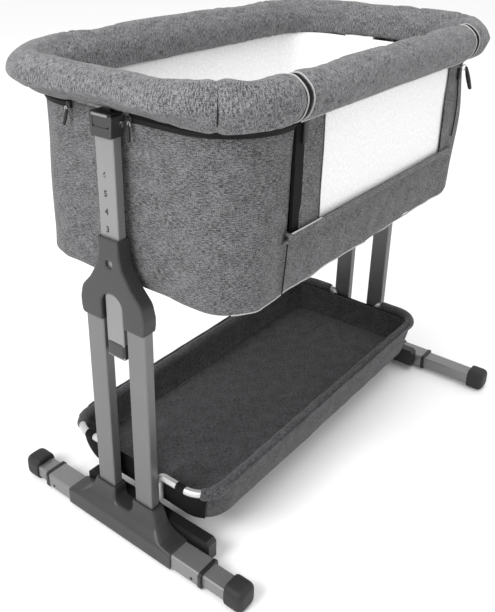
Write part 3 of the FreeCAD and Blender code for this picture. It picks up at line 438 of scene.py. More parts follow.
def webbing_group():
    """Woven tape: ribs across the tape and diagonal shed lines, with a faint sheen change."""
    tree, given = new_group("webbing", [("Base", COLOUR, (.02, .02, .02, 1)), ("Rib", FLOAT, 0.0012)])
    thread = maths(tree, "DIVIDE", TURN, given["Rib"])
    twill = crossed_waves(tree, given["Vector"], thread, times(tree, thread, 0.8))
    dust = stretched_noise(tree, given["Vector"], (160, 160, 160), 3, 0.6)
    shade = plus(tree, spread(tree, twill, -1, 1, 0.88, 1.06), spread(tree, dust, 0.4, 0.7, 0, 0.12))
    return close_group(tree, shaded(tree, given["Base"], shade), twill, spread(tree, twill, -1, 1, 0.85, 0.6))


MELANGE, MOULDED, DRAWN, WEBBING = melange_group(), moulded_group(), drawn_metal_group(), webbing_group()


# ---------------------------------------------------------------- materials
def material(name, group, values, depth, fixed, uv=False, alpha=None):
    """A Principled material fed by one effect group, with a bump of the given depth in metres."""
    made = bpy.data.materials.new(name)
    made.use_nodes = True
    tree = made.node_tree
    tree.nodes.clear()
    shader = add(tree, "ShaderNodeBsdfPrincipled", fixed)
    out = add(tree, "ShaderNodeOutputMaterial")
    tree.links.new(shader.outputs[0], out.inputs[0])
    where = add(tree, "ShaderNodeTexCoord").outputs["UV" if uv else "Object"]
    effect = add(tree, "ShaderNodeGroup")
    effect.node_tree = group
    tree.links.new(where, effect.inputs["Vector"])
    for key, value in values.items():
        effect.inputs[key].default_value = value
    height = effect.outputs["Height"]
    bump = add(tree, "ShaderNodeBump", {"Height": height, "Distance": depth, "Strength": 1.0})
    tree.links.new(effect.outputs["Color"], shader.inputs["Base Color"])
    tree.links.new(effect.outputs["Roughness"], shader.inputs["Roughness"])
    tree.links.new(bump.outputs[0], shader.inputs["Normal"])
    if alpha is not None:
        tree.links.new(alpha(tree, where), shader.inputs["Alpha"])
    return made


def grey(level, blue=0.0):
    """A grey, with a share more of blue."""
    return (level, level, level * (1 + blue), 1)


def net_holes(tree, where):
    """Alpha of a net: holes about 2 mm apart, thread between them."""
    scaled = add(tree, "ShaderNodeVectorMath", {0: where, "Scale": 520.0}, operation="SCALE")
    cells = add(tree, "ShaderNodeTexVoronoi", {"Vector": scaled.outputs[0], "Scale": 1.0, "Randomness": 0.12},
                voronoi_dimensions="2D")
    return spread(tree, cells.outputs["Distance"], 0.18, 0.42, 0.45, 0.92)


def linen_cloth(name, dark, light, blue, weft, contrast=1.0):
    """Two-tone linen between two greys; weft is the share of yarn that runs across."""
    values = {"Dark": grey(dark, blue), "Light": grey(light, blue), "Weft": weft, "Contrast": contrast}
    return material(name, MELANGE, values, .0005, CLOTH, uv=True)


def woven(name, base, rib, depth, fixed=None, uv=True, alpha=None):
    """Tape, net or fine cloth with threads rib metres apart."""
    return material(name, WEBBING, {"Base": base, "Rib": rib}, depth, fixed or CLOTH, uv, alpha)


def moulding(name, base, gloss, depth, fixed, grain=1.0):
    """Moulded plastic, rubber, paint, board or ink."""
    return material(name, MOULDED, {"Base": base, "Gloss": gloss, "Grain": grain}, depth, fixed)


def drawn_metal(name, level, along, gloss, depth, fixed):
    """Metal with lines 1/along metres long on each axis."""
    return material(name, DRAWN, {"Base": grey(level), "Along": along, "Gloss": gloss}, depth, fixed)


CLOTH = {"Sheen Weight": 0.12, "Sheen Roughness": 0.5, "Specular IOR Level": 0.15}
SATIN = {"Metallic": .55, "Specular IOR Level": .5}
linen = linen_cloth("linen_body", .026, .182, .03, .72)
linen_rail = linen_cloth("linen_rail", .036, .232, .03, .25)
linen_dark = linen_cloth("linen_dark", .012, .104, .05, .5, .9)
lining_cloth = woven("lining_cloth", grey(.87), .0026, .00006)
quilt_cloth = woven("quilt_cloth", grey(.87), .0022, .00006)
net = woven("net_white", grey(.88), .0030, .00004, alpha=net_holes)
piping = woven("piping_white", grey(.44), .0009, .0001)
tape = woven("tape_black", grey(.006, .1), .0012, .0002, {"Specular IOR Level": .25})
band = woven("band_black", grey(.004, .1), .0016, .0002, {"Specular IOR Level": .14}, uv=False)
plastic = moulding("plastic_grey", grey(.026, .02), .42, .00005, {"Specular IOR Level": .45})
plastic_black = moulding("plastic_black", grey(.012), .4, .00005, {"Specular IOR Level": .4})
rubber = moulding("rubber_dark", grey(.02), .6, .00008, {"Specular IOR Level": .3}, 1.6)
black_metal = moulding("metal_black", grey(.014), .35, .00004, {"Metallic": .3})
board = moulding("board", grey(.2), .7, .00005, {})
ink = moulding("ink_black", grey(.012), .5, .00001, {})
post_metal = drawn_metal("aluminium_post", .155, (900, 900, 6), .42, .00002, SATIN)
mast_metal = drawn_metal("aluminium_mast", .235, (900, 900, 6), .45, .00002, SATIN)
foot_metal = drawn_metal("aluminium_foot", .21, (900, 6, 900), .36, .00002, SATIN)
tube_metal = drawn_metal("steel_tube", .52, (60, 60, 60), .34, .000002, {"Metallic": .7})
bright = drawn_metal("steel_bright", .85, (300, 300, 300), .18, .00001, {"Metallic": 1.0})

FINISH = {"aluminium_satin": post_metal, "aluminium_light": mast_metal, "steel_bright": bright,
          "steel_tube": tube_metal, "metal_black": black_metal, "plastic_grey": plastic,
          "plastic_black": plastic_black, "rubber_dark": rubber, "board": board, "webbing_black": band,
          "fabric_charcoal": linen_dark, "fabric_grey": linen, "lining_white": lining_cloth,
          "mesh_white": net, "mattress_white": quilt_cloth}
# Every CAD node's finish by its slot, apart from a few whose real finish differs from their slot's, and the
# rail lugs and the hinge rod, which are made black as painted shade for the dark places they sit in.
slots = {entry["node"]: entry["material_slot"] for entry in frame["record"]["subparts"]}
for node_name, obj in frame["nodes"].items():
    chosen = FINISH[slots[node_name]]
    if "foot_tube" in node_name or "inner_tube" in node_name:
        chosen = foot_metal
    if node_name == "side_arms":
        chosen = band
    # Painted shade: the rail lugs and the hinge rod are made black so they read as the shade around them.
    if node_name.endswith("_rail_lug") or node_name == "side_hinge_rod":
        chosen = black_metal
    obj.data.materials.clear()
    obj.data.materials.append(chosen)


# ---------------------------------------------------------------- padded rail
def swell(obj, held, growth, pressure, frames, cap):
    """Lets a closed cover fill out: the cloth is cut larger by growth and blown up a little while the held
    points stay, and no point moves more than cap."""
    rest = np.empty(len(obj.data.vertices) * 3, np.float32)
    obj.data.vertices.foreach_get("co", rest)
    rest = rest.reshape(-1, 3)
    group = obj.vertex_groups.new(name="held")
    group.add(np.flatnonzero(held).tolist(), 1.0, "REPLACE")
    cloth = obj.modifiers.new("cloth", "CLOTH")
    cloth.settings.quality = 5
    cloth.settings.mass = 0.2
    cloth.settings.tension_stiffness = cloth.settings.compression_stiffness = 15
    cloth.settings.bending_stiffness = 0.4
    cloth.settings.shrink_min = -growth
    cloth.settings.vertex_group_mass = "held"
    cloth.settings.use_pressure = True
    cloth.settings.uniform_pressure_force = pressure
    cloth.settings.effector_weights.gravity = 0
    cloth.collision_settings.use_collision = False
    scene = bpy.context.scene
    for number in range(1, frames + 1):
        scene.frame_set(number)
    graph = bpy.context.evaluated_depsgraph_get()
    moved = np.empty(len(rest) * 3, np.float32)
    obj.evaluated_get(graph).data.vertices.foreach_get("co", moved)
    obj.modifiers.clear()
    scene.frame_set(1)
    step = moved.reshape(-1, 3) - rest
    size = np.linalg.norm(step, axis=1, keepdims=True)
    step *= np.minimum(1, cap / np.maximum(size, 1e-9))
    obj.data.vertices.foreach_set("co", (rest + step).astype(np.float32).reshape(-1))
    obj.data.update()
    obj.vertex_groups.clear()
    return obj


# The padding's section as a radius by angle from straight out, through up, to straight down: a soft ridge on
# top, a flattened inner face, and an inner edge that hangs to the lining.
SECTION_ANGLE = np.radians([-90, -60, 0, 25, 52, 78, 100, 128, 152, 180, 205, 226, 236, 252, 270])
SECTION_RADIUS = np.array([36, 36, 35, 34.6, 33.2, 34.2, 32, 27.6, 29, 32.5, 35.5, 42.5, 44, 38.5, 36]) / 1000
AROUND = 56     # points round the section


def pad_radius(s, angle):
    """Radius of the padding: the table above, eased, then cut off below its widest level by a straight slope
    in to the body's rim, whose distance from the rail changes round the corners, and by a level underside.
    The least of the three is softened: minus the logarithm of the sum of e to the minus sharp times each,
    over sharp."""
    fine = np.radians(np.arange(-90, 270, 2.0))
    table = np.interp(fine, SECTION_ANGLE, SECTION_RADIUS)
    window = np.hanning(13)
    half = len(window) // 2
    soft = np.convolve(np.pad(table, half, "wrap"), window / window.sum(), "same")[half:-half]
    radius = np.interp(np.mod(angle + math.pi / 2, TURN) - math.pi / 2, np.append(fine, fine[0] + TURN),
                       np.append(soft, soft[0]))
    sign_x, _, facing = ring_turn(s, RAIL_KNOTS)
    foot = -0.021 * sign_x * np.cos(facing) + 0.026 * np.abs(np.sin(facing)) + 0.001
    foot_z, waist, waist_z = -0.0345, 0.0362, -0.002
    slope_x, slope_z = waist - foot, waist_z - foot_z
    across = slope_z * waist - slope_x * waist_z
    facing_out = slope_z * np.cos(angle) - slope_x * np.sin(angle)
    line = np.where(facing_out > 1e-4, across / np.maximum(facing_out, 1e-4), 1.0)
    floor = np.where(np.sin(angle) < -0.3, 0.0390 / np.maximum(-np.sin(angle), 0.3), 1.0)
    sharp = 700.0
    return -np.log(np.exp(-sharp * radius) + np.exp(-sharp * np.minimum(line, 0.2))
                   + np.exp(-sharp * np.minimum(floor, 0.2))) / sharp


def rail_point(s, radius, angle):
    """Point of the padding at arc length s: the rail's centre line, plus the radius times the cosine of the
    section's angle outwards and times its sine upwards."""
    x, y, nx, ny = ring(s, RAIL_HALF_X, RAIL_HALF_Y, RAIL_CORNER, RAIL_KNOTS)
    out = radius * np.cos(angle)
    return stacked(x + out * nx, y + out * ny, RAIL_Z + radius * np.sin(angle))


# Rings that close a cover's end: their size, and how far they stand out. More rings than these stay still.
CAP_SIZE = np.array([0.94, 0.8, 0.6, 0.38, 0.16, 0.01])
CAP_BULGE = np.array([0.0004, 0.0006, 0.0007, 0.0007, 0.0007, 0.0007])
HELD_RINGS = 8


def pad_sleeve(name, start, stop, columns, seams, seed):
    """Padded cover round the rail: its section carried along the rounded rectangle from start to stop. The
    radius dips at the seams and beside the ends, and carries small folds round the section, most of them
    inside the corners."""
    s = np.linspace(start, stop, columns)[:, None]
    angle = (np.arange(AROUND) / AROUND * TURN)[None, :]
    where = np.mod(s, RAIL_LENGTH)
    bends = [(RAIL_KNOTS[i] + RAIL_KNOTS[i + 1]) / 2 for i in (1, 3, 5, 7)]
    turn = sum(bump_at(where, middle, .11) for middle in bends)
    radius = pad_radius(s, angle) - 0.003 * (bump_at(s, start, .010) + bump_at(s, stop, .010))
    for seam in seams:
        radius = radius - 0.0036 * bump_at(s, seam, 0.0026) + 0.0008 * bump_at(np.abs(s - seam), .012, .006)
    girth = PAD * angle + 0 * s
    inner = 0.5 - 0.5 * np.cos(angle)
    radius = radius + 0.0010 * soft_noise(s + 0 * angle, girth, .07, .05, seed)
    radius += (0.0004 + 0.0024 * turn * inner) * creases(s + 0.45 * girth, girth, .022, .10, seed + 1)
    ends = bump_at(s, start, .04) + bump_at(s, stop, .04)
    radius += 0.0011 * ends * creases(s, girth, .05, .016, seed + 2)
    radius = np.minimum(radius, np.maximum(pad_radius(s, angle), PAD) + 0.0012)
    points = rail_point(s, radius, angle)
    girth_uv = (np.arange(AROUND + 1) / AROUND * TURN * PAD)[None, :]
    uv = stacked(s, girth_uv)
    cap_rows, cap_uv = [], []
    for index, sign in ((0, -1), (-1, 1)):
        end_s = s[index, 0]
        x, y, nx, ny = ring(end_s, RAIL_HALF_X, RAIL_HALF_Y, RAIL_CORNER, RAIL_KNOTS)
        centre, ahead = np.array([x, y, RAIL_Z]), np.array([-ny, nx, 0]) * sign
        rows = centre + (points[index] - centre)[None] * CAP_SIZE[:, None, None]
        rows += ahead * CAP_BULGE[:, None, None]
        row_uv = stacked((end_s + sign * (1 - CAP_SIZE) * PAD)[:, None], girth_uv)
        cap_rows.append(rows[::sign])
        cap_uv.append(row_uv[::sign])
    points = np.concatenate([cap_rows[0], points, cap_rows[1]])
    uv = np.concatenate([cap_uv[0], uv, cap_uv[1]])
    obj = turn_faces_out(surface(name, points, uv, wrap=(False, True)))
    under = np.sin(np.tile(angle, (len(points), 1))) < -0.9
    rows = np.arange(len(points))[:, None] + 0 * angle
    held = under | (rows < HELD_RINGS) | (rows >= len(points) - HELD_RINGS)
    for seam in seams:
        held |= np.abs(rows - len(CAP_SIZE) - (seam - start) / (stop - start) * (columns - 1)) < 0.6
    swell(obj, held.reshape(-1), 0.03, 0.6, 14, 0.0022)
    return subdivide(obj)


near_corner_seam = RAIL_KNOTS[7] + 0.455 * (RAIL_KNOTS[8] - RAIL_KNOTS[7])
far_corner_seam = RAIL_LENGTH - near_corner_seam
rear_seams = [RAIL_KNOTS[4] + 0.03, RAIL_KNOTS[5] - 0.03]
rail_cover = pad_sleeve("rail_cover_padded", 0.2908, RAIL_LENGTH - 0.2908, 380,
                        [far_corner_seam, *rear_seams, near_corner_seam], 11)
finish_piece(rail_cover, "bassinet", "fabric_grey", linen_rail, ["rail_cover"])
side_rail = pad_sleeve("side_rail_cover_padded", -0.2768, 0.2768, 120, [], 23)
finish_piece(side_rail, "drop_side", "fabric_grey", linen_rail, ["side_rail_cover"])


def rail_piping(name, x, body):
    """A thin corded edge: the padding's own section drawn round the rail at one X."""
    angle = np.arange(72) / 72 * TURN
    path = rail_point(x, pad_radius(x, angle) - .0016, angle)
    return finish_piece(tube(name, path, .0012, 8, closed=True), body, "fabric_grey", piping)


def rail_seam(name, s):
    """A sewn joint down the outer face of the padding, from the crown to the tape: a thin black line sunk in
    the dip, painted shade for the seam's crease.
    """
    angle = np.radians(np.linspace(34, -58, 40))
    path = rail_point(s, pad_radius(s, angle) - .0022, angle)
    return finish_piece(tube(name, path, .0013, 6), "bassinet", "fabric_grey", tape)


# The two seams that face the front get a black line in their dips as painted shade.
rail_seam("rail_seam_near", near_corner_seam)
rail_seam("rail_seam_far", far_corner_seam)
rail_piping("rail_piping_near", -0.2912, "bassinet")
rail_piping("rail_piping_far", 0.2912, "bassinet")
rail_piping("side_piping_near", -0.2764, "drop_side")
rail_piping("side_piping_far", 0.2764, "drop_side")


def joint_band(name, start, stop):
    """The black binding between two padded covers: their section, a little smaller, with hollow edges."""
    s = np.linspace(start, stop, 7)[:, None]
    angle = (np.arange(72) / 72 * TURN)[None, :]
    edge = np.abs(np.linspace(-1, 1, len(s)))[:, None] ** 3
    points = rail_point(s, pad_radius(s, angle) - .0010 - .0020 * edge, angle)
    piece = turn_faces_out(surface(name, points, wrap=(False, True)))
    return finish_piece(piece, "bassinet", "webbing_black", band)


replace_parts(joint_band("joint_band_near", -.2925, -.2790), "rail_joint_rings")
joint_band("joint_band_far", .2790, .2925)

# The white edge along the lower side of the folding rail's cover.
x_run = np.linspace(-0.275, 0.275, 90)
edge = stacked(x_run, -0.2386 + .0004 * soft_noise(x_run, 0 * x_run, .05, 1, 41),
               0.7772 + .0005 * soft_noise(x_run, 0 * x_run, .08, 1, 42))
finish_piece(tube("side_edge_piping", edge, 0.0012, 8), "drop_side", "fabric_grey", piping)


# ---------------------------------------------------------------- body
WALL_ROWS, LOW_ROWS = 34, 16                # rows beside the opening, and below it
WALL_COLUMNS, OPENING_COLUMNS = 420, 122    # columns round the walls, and across the opening


def body_profile():
    """Rows down the body's side and round its lower edge as (inset, height), then shares of the way in under
    the floor."""
    edge = 0.016
    down = np.linspace(BODY_TOP - 0.0035, POCKET_Z, WALL_ROWS)
    low = np.linspace(POCKET_Z, BODY_FLOOR + edge, LOW_ROWS + 1)[1:]
    turn = np.radians(np.linspace(0, 90, 8)[1:])
    upright, under = WALL_ROWS + LOW_ROWS, np.array([0.05, 0.12, 0.25, 0.45, 0.65, 0.82, 0.94, 0.999])
    inset = np.concatenate([np.zeros(upright), edge * (1 - np.cos(turn)), 0 * under + edge])
    height = np.concatenate([down, low, BODY_FLOOR + edge * (1 - np.sin(turn)), 0 * under + BODY_FLOOR])
    closing = np.concatenate([np.zeros(upright + len(turn)), under])
    return inset, height, closing


def body_relief(s, z):
    """How far the cloth stands proud: broad dents, upright folds in the front panel, short gathers under the
    tape, and a bulge above the stiff floor away from the posts."""
    side = from_front(s)
    front = ease(0.30 - np.abs(side), 0, 0.04) * ease(POCKET_Z + .004 - z, 0, 0.02)
    posts = bump_at(s, end_at(0), .10) + bump_at(s, end_at(0, True), .10)
    relief = 0.0012 * soft_noise(s, z, .11, .09, 31) + 0.0005 * soft_noise(s, z, .03, .05, 32)
    relief += 0.0012 * bump_at(z, BODY_TOP, .03) * creases(s, z, .02, .09, 33)
    relief = relief * (1 - .6 * front)
    relief += front * (0.0016 * soft_noise(s + 0.35 * z, z, .035, .12, 34)
                       + 0.0012 * creases(s - .3 * z, z, .05, .08, 35) - .0022)
    relief += 0.0014 * bump_at(z, BODY_FLOOR + .01, .02) * soft_noise(s, z, .03, .05, 36)
    free = np.clip(1 - 1.4 * posts - ease(.34 - np.abs(side), 0, .05), 0, 1)
    relief += 0.0035 * bump_at(z, .55, .09) * free
    relief += 0.0095 * bump_at(side, .342, .07) * bump_at(z, .665, .08)
    return relief * ease(BODY_TOP - z, 0, .006)


def around_opening(walls, opening):
    """Columns of a body sheet: round the walls from the opening's far edge to its near edge, then across."""
    near, far = BODY_LENGTH - OPENING_NEAR, BODY_LENGTH + OPENING_FAR
    return np.concatenate([np.linspace(OPENING_FAR, near, walls), np.linspace(near, far, opening)[1:-1]])


def open_front(rows, columns, wall_rows, walls):
    """Which quads of a body sheet are kept: all but those across the opening."""
    quads = np.ones((rows - 1, columns), bool)
    quads[:wall_rows - 1, walls - 1:] = False
    return quads


def body_outside():
    """The fabric body: the outline at each height with the relief added, drawn in round the lower edge and
    closed under the floor, with the front left open above the fixed panel."""
    inset, height, closing = body_profile()
    columns = around_opening(WALL_COLUMNS, OPENING_COLUMNS)
    s, z, inset = columns[None, :], height[:, None], inset[:, None]
    relief = body_relief(s, z) * ease(0.016 - inset, 0, 0.012)
    points = body_point(s, z + 0 * s, relief - inset)
    points[:, :, :2] *= (1 - closing)[:, None, None]
    ripple = 0.0011 * soft_noise(s, z, .035, 1, 37) * bump_at(z, BODY_FLOOR, .012)
    points[:, :, 2] += ripple * (closing[:, None] < .01)
    steps = np.hypot(np.diff(inset[:, 0]), np.diff(height)) + np.diff(closing) * .25
    drop = np.concatenate([[0], np.cumsum(steps)])
    uv = stacked(np.append(columns, columns[0] + BODY_LENGTH)[None, :], -drop[:, None])
    quads = open_front(len(height), len(columns), WALL_ROWS, WALL_COLUMNS)
    cloth = thicken(surface("body_cloth", points, uv, wrap=(False, True), keep=quads, flip=True), 0.0016)
    finish_piece(cloth, "bassinet", "fabric_grey", linen, ["body_shell"])


body_outside()


def zip_run(name, start, stop):
    """Closed zip: a tape whose section has a raised coil along its middle, carried along the rim."""
    s = np.linspace(start, stop, max(12, int((stop - start) / .005)))[None, :]
    height = np.array([.7632, .7648, .7672, .7684, .7692, .7704, .7716, .7724, .7736, .7768, .7790])[:, None]
    proud = np.array([.0006, .0014, .0015, .0016, .0034, .0040, .0034, .0016, .0015, .0014, .0004])[:, None]
    z = height + .0006 * soft_noise(s, 0 * s, .06, 1, 51)
    points = body_point(s + 0 * z, z, proud + .0006 + 0 * s)
    piece = thicken(surface(name, points, stacked(s, height), flip=True), 0.0007)
    return finish_piece(piece, "bassinet", "webbing_black", tape)


zip_run("zip_front_far", OPENING_FAR + .003, end_at(-.030, True))
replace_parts(zip_run("zip_rear", end_at(.090, True), end_at(.090)), "zip_tape")
zip_run("zip_front_near", end_at(-.030), BODY_LENGTH - OPENING_NEAR - .003)


def zip_pull(name, s, lean):
    """Slider, bail and moulded grip hanging from the tape at arc length s, leaning sideways."""
    foot = body_point(np.array([s]), np.array([.7685]), .0045)[0]
    beside = body_point(np.array([s + .001]), np.array([.7685]), .0045)[0]
    along = (beside - foot) / np.linalg.norm(beside - foot)
    out = np.array([along[1], -along[0], 0])
    turn = Matrix((Vector(along), Vector(out), Vector((0, 0, 1)))).transposed().to_4x4()
    turn.translation = Vector(foot)
    slider = slab(name + "_slider", (-.0042, -.0016, -.0055), (.0042, .0026, .0055), .0012)
    slider.data.transform(turn)
    angle = (np.arange(16) / 16 * TURN)[:, None]
    bail = foot + out * .0035 + (np.sin(angle) * .0024 + lean * .01) * along \
        + stacked(0, 0, np.cos(angle[:, 0]) * .0036 - .006)
    t = np.linspace(0, 1, 12)[:, None]
    down = np.array([0, 0, -1]) * (.009 + .021 * t)
    hanging = out * (.0042 + .001 * t) + along * lean * (.2 + t) * .02 + down
    bail_piece = tube(name + "_bail", bail, .0008, 6, closed=True)
    grip = tube(name + "_grip", foot + hanging, .0027 * (1 - .15 * np.abs(t[:, 0] - .5)), 10)
    finish_piece(slider, "bassinet", "metal_black", black_metal)
    finish_piece(bail_piece, "bassinet", "steel_bright", tube_metal)
    finish_piece(grip, "bassinet", "webbing_black", rubber)


zip_pull("pull_near_rear", end_at(.094), -.35)
zip_pull("pull_near_front", end_at(-.0335), .05)
zip_pull("pull_far_front", end_at(-.0335, True), .05)
zip_pull("pull_far_rear", end_at(.094, True), .3)


# The seam at the near end of the fixed panel, and the piping round the floor's edge.
z_run = np.linspace(.594, .4995, 30)
path = body_point((-.2655 - .005 * (.594 - z_run) / .09) % BODY_LENGTH, z_run, .0019)
finish_piece(tube("panel_seam_near", path, .0011, 8), "bassinet", "webbing_black", tape)
floor_s, floor_z = np.linspace(-.385, .40, 220), np.full(220, BODY_FLOOR + .0047)
turned = body_relief(floor_s % BODY_LENGTH, floor_z) * .85
path = body_point(floor_s % BODY_LENGTH, floor_z, turned - .0036)
path[:, 2] += .0011 * soft_noise(floor_s, 0 * floor_s + BODY_FLOOR, .035, 1, 37)
finish_piece(tube("floor_piping", path, .0015, 8), "bassinet", "fabric_grey", piping)

# Zip tapes sewn inside the opening's two upright edges.
for name, start, stop in (("opening_tape_near", -.2725, -.2560), ("opening_tape_far", .2780, .2925)):
    s, z = np.linspace(start, stop, 5)[None, :], np.linspace(.603, .772, 30)[:, None]
    inside = thicken(surface(name, body_point(s, z + 0 * s, -.0030), stacked(s, z)), .0008)
    finish_piece(inside, "bassinet", "webbing_black", band)


def inner_lining():
    """A white sheet just inside the wall, with soft upright folds and a rolled top edge."""
    wall_rows, walls = 24, 300
    columns = around_opening(walls, 82)
    s, top = columns[None, :], .7745
    z = np.concatenate([np.linspace(top, POCKET_Z, wall_rows), np.linspace(POCKET_Z, .519, 10)[1:]])[:, None]
    fold = .0030 * soft_noise(s, z, .045, .25, 61) + .0022 * creases(s, z, .07, .3, 62)
    points = body_point(s, z + 0 * s, -.0054 - np.abs(fold) * ease(top - z, 0, .03))
    uv = stacked(np.append(columns, columns[0] + BODY_LENGTH)[None, :], z)
    quads = open_front(len(z), len(columns), wall_rows, walls)
    sheet = surface("inner_lining_sheet", points, uv, wrap=(False, True), keep=quads, flip=True)
    finish_piece(thicken(sheet, .0012), "bassinet", "lining_white", lining_cloth, ["inner_lining"])


def quilted_mattress():
    """A rounded block carried round its own outline. Its top is crowned by one minus the fourth power of x's
    share, times the same of y's, and dips at two sets of stitched lines that cross as diamonds."""
    low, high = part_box("mattress")
    half_x, half_y, corner = (high.x - low.x) / 2 + .0025, (high.y - low.y) / 2 + .0025, .085
    knots = ring_knots(half_x, half_y, corner)
    s = np.linspace(0, knots[-1], 240, endpoint=False)[None, :]
    side_angle = np.radians(np.linspace(-90, 90, 15))
    below, above = np.zeros(4), np.ones(22)
    inset = np.concatenate([below + .012, .012 * (1 - np.cos(side_angle)), above * .012])[:, None]
    height = np.concatenate([below, .5 + .5 * np.sin(side_angle), above])[:, None]
    close = np.concatenate([[.999, .6, .3, .1], 0 * side_angle, np.linspace(.04, .999, len(above))])[:, None]
    x, y, _, _ = ring(s, half_x, half_y, corner, knots, -inset)
    x, y = x * (1 - close), y * (1 - close)
    crown = .004 * (1 - (x / half_x) ** 4) * (1 - (y / half_y) ** 4)
    pitch = math.pi / .075
    lines = np.minimum(np.abs(np.sin((x + y) * pitch)), np.abs(np.sin((x - y) * pitch)))
    quilt = .0035 * (1 - np.exp(-(lines / .28) ** 2)) - .0035
    z = low.z + (high.z - low.z - .004) * height + ease(height, .6, 1) * (crown + quilt * (close > .01))
    uv = stacked(np.append(x, x[:, :1], 1), np.append(y, y[:, :1], 1) + height * .04)
    mattress = turn_faces_out(surface("mattress_quilted", stacked(x, y, z), uv, wrap=(False, True)))
    finish_piece(subdivide(mattress), "bassinet", "mattress_white", quilt_cloth, ["mattress"])


inner_lining()
quilted_mattress()


# ---------------------------------------------------------------- folding side
def net_dent(x, z):
    """The net bellies most at mid height: a smooth random field times the sine of the height's share."""
    return .0022 * soft_noise(x, z, .12, .07, 71) * np.sin((z - .6) / .176 * math.pi)


def border_dent(x, z):
    """The border stands a little proud, by a smooth random field."""
    return .0014 * soft_noise(x, z, .03, .06, 72) + .0006


def flat_sheet(name, x_range, z_range, y, rows_columns, dent, finish, thick):
    """An upright rectangle of cloth on the folding side at y, moved by dent(x, z) metres outwards."""
    rows, columns = rows_columns
    x, z = np.meshgrid(np.linspace(*x_range, columns), np.linspace(*z_range, rows), indexing="xy")
    piece = thicken(surface(name, stacked(x, y - dent(x, z), z), stacked(x, z)), thick)
    return finish_piece(piece, "drop_side", *finish)


WINDOW_NEAR, WINDOW_FAR = -.1962, .2383         # the window's two upright edges
net_panel = flat_sheet("mesh_window", (-.2005, .2430), (.6015, .7760), -.2252, (40, 90), net_dent,
                       ("mesh_white", net), .0005)
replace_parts(net_panel, "side_mesh")
near_strip = flat_sheet("border_near", (-.2520, -.1960), (.6005, .7765), -.2268, (44, 16), border_dent,
                        ("fabric_grey", linen), .0016)
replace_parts(near_strip, "side_border")
far_strip = flat_sheet("border_far", (.2380, .2875), (.6040, .7765), -.2287, (44, 18), border_dent,
                       ("fabric_grey", linen), .0010)
z_line = np.linspace(.603, .774, 40)
for name, x_at, y_at in (("window_edge_near", WINDOW_NEAR, -.2281), ("window_edge_far", WINDOW_FAR, -.2293)):
    line = stacked(x_at, y_at - .0012 * soft_noise(x_at + 0 * z_line, z_line, .03, .06, 72), z_line)
    finish_piece(tube(name, line, .0011, 8), "drop_side", "fabric_grey", linen)

# The side's own zip line at the far end, bowed a little, and the pocket for the other zip at the near end.
t = np.linspace(0, 1, 40)
bow = np.sin(t * math.pi)
zip_line = stacked(.2830 + .0055 * bow - .006 * t ** 2, -.2318 - .0008 * bow, .630 + .117 * t)
finish_piece(tube("side_zip_line", zip_line, .0013, 8), "drop_side", "webbing_black", tape)
garage = slab("near_zip_garage", (-.2555, -.2322, .7385), (-.2445, -.2275, .7745), .0018)
finish_piece(garage, "drop_side", "webbing_black", plastic_black)


def fold_with_side(piece, cloth):
    """Gives cloth between the fixed body and the folding side, over the hinge rod, its material and bakes its
    place into its mesh; it is put on no body and does not move with the side.
    """
    piece.data.materials.append(cloth)
    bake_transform(piece)


def hinge_fold():
    """The strip from the fixed panel up over the hinge rod, waved by a smooth random field, with piping along
    the near end of its hem."""
    low, high = .5860, .6085
    x, t = np.linspace(-.2790, .2850, 150)[None, :], np.linspace(0, 1, 12)[:, None]
    z = low + t * (high - low) + .0011 * soft_noise(x, 0 * x, .08, 1, 81) * ease(t, .3, 1)
    out = .0122 * ease(t, 0, .55) * (.25 + .75 * ease(x, -.279, -.2735))
    y = -.2208 - out - .0008 * soft_noise(x, z, .05, .05, 82)
    strip = bake_modifiers(thicken(surface("hinge_fold", stacked(x, y, z), stacked(x, z)), .0012))
    fold_with_side(strip, linen)
    x = np.linspace(-.2755, -.1960, 30)
    path = stacked(x, -.2335, .6090 + .0011 * soft_noise(x, 0 * x, .08, 1, 81))
    fold_with_side(tube("hinge_fold_piping", path, .0012, 8), piping)


def side_zip_slider():
    """A small block on the zip line, a wire bail, and a long moulded grip hanging outwards."""
    block = slab("zip_slider_block", (.2735, -.2352, .7420), (.2825, -.2300, .7640), .0014)
    finish_piece(block, "zip_slider", "metal_black", black_metal, ["side_zip_slider"])
    angle = np.arange(20) / 20 * TURN
    across, up = np.sin(angle), np.cos(angle)
    bail = stacked(.2900 + .0062 * across, -.2360 - .0015 * across, .7640 + .0050 * up)
    finish_piece(tube("zip_bail", bail, .0011, 8, closed=True), "zip_slider", "steel_bright", bright)
    t = np.linspace(0, 1, 20)
    grip = np.array([.2950, -.2385, .7625]) + t[:, None] * np.array([.016, -.006, -.040])
    thick = .0030 + .0012 * np.sin(t * math.pi) + .0008 * t
    finish_piece(tube("zip_grip", grip, thick, 12, squeeze=.6), "zip_slider", "webbing_black", plastic_black)


hinge_fold()
side_zip_slider()


# ---------------------------------------------------------------- basket
B_KNOTS = ring_knots(.383, .173, .060)
BASKET_FLOOR_Z = .0655


def basket_ring(s, up, proud):
    """x and y on the basket's side at arc length s and share up of its height: the half sizes and the corner
    radius grow evenly from floor to rim, apart from the half width, which grows with up to the power 1.4."""
    return ring(s, .371 + .0125 * up, .161 + .0155 * up ** 1.4, .050 + .010 * up, B_KNOTS, proud)[:2]


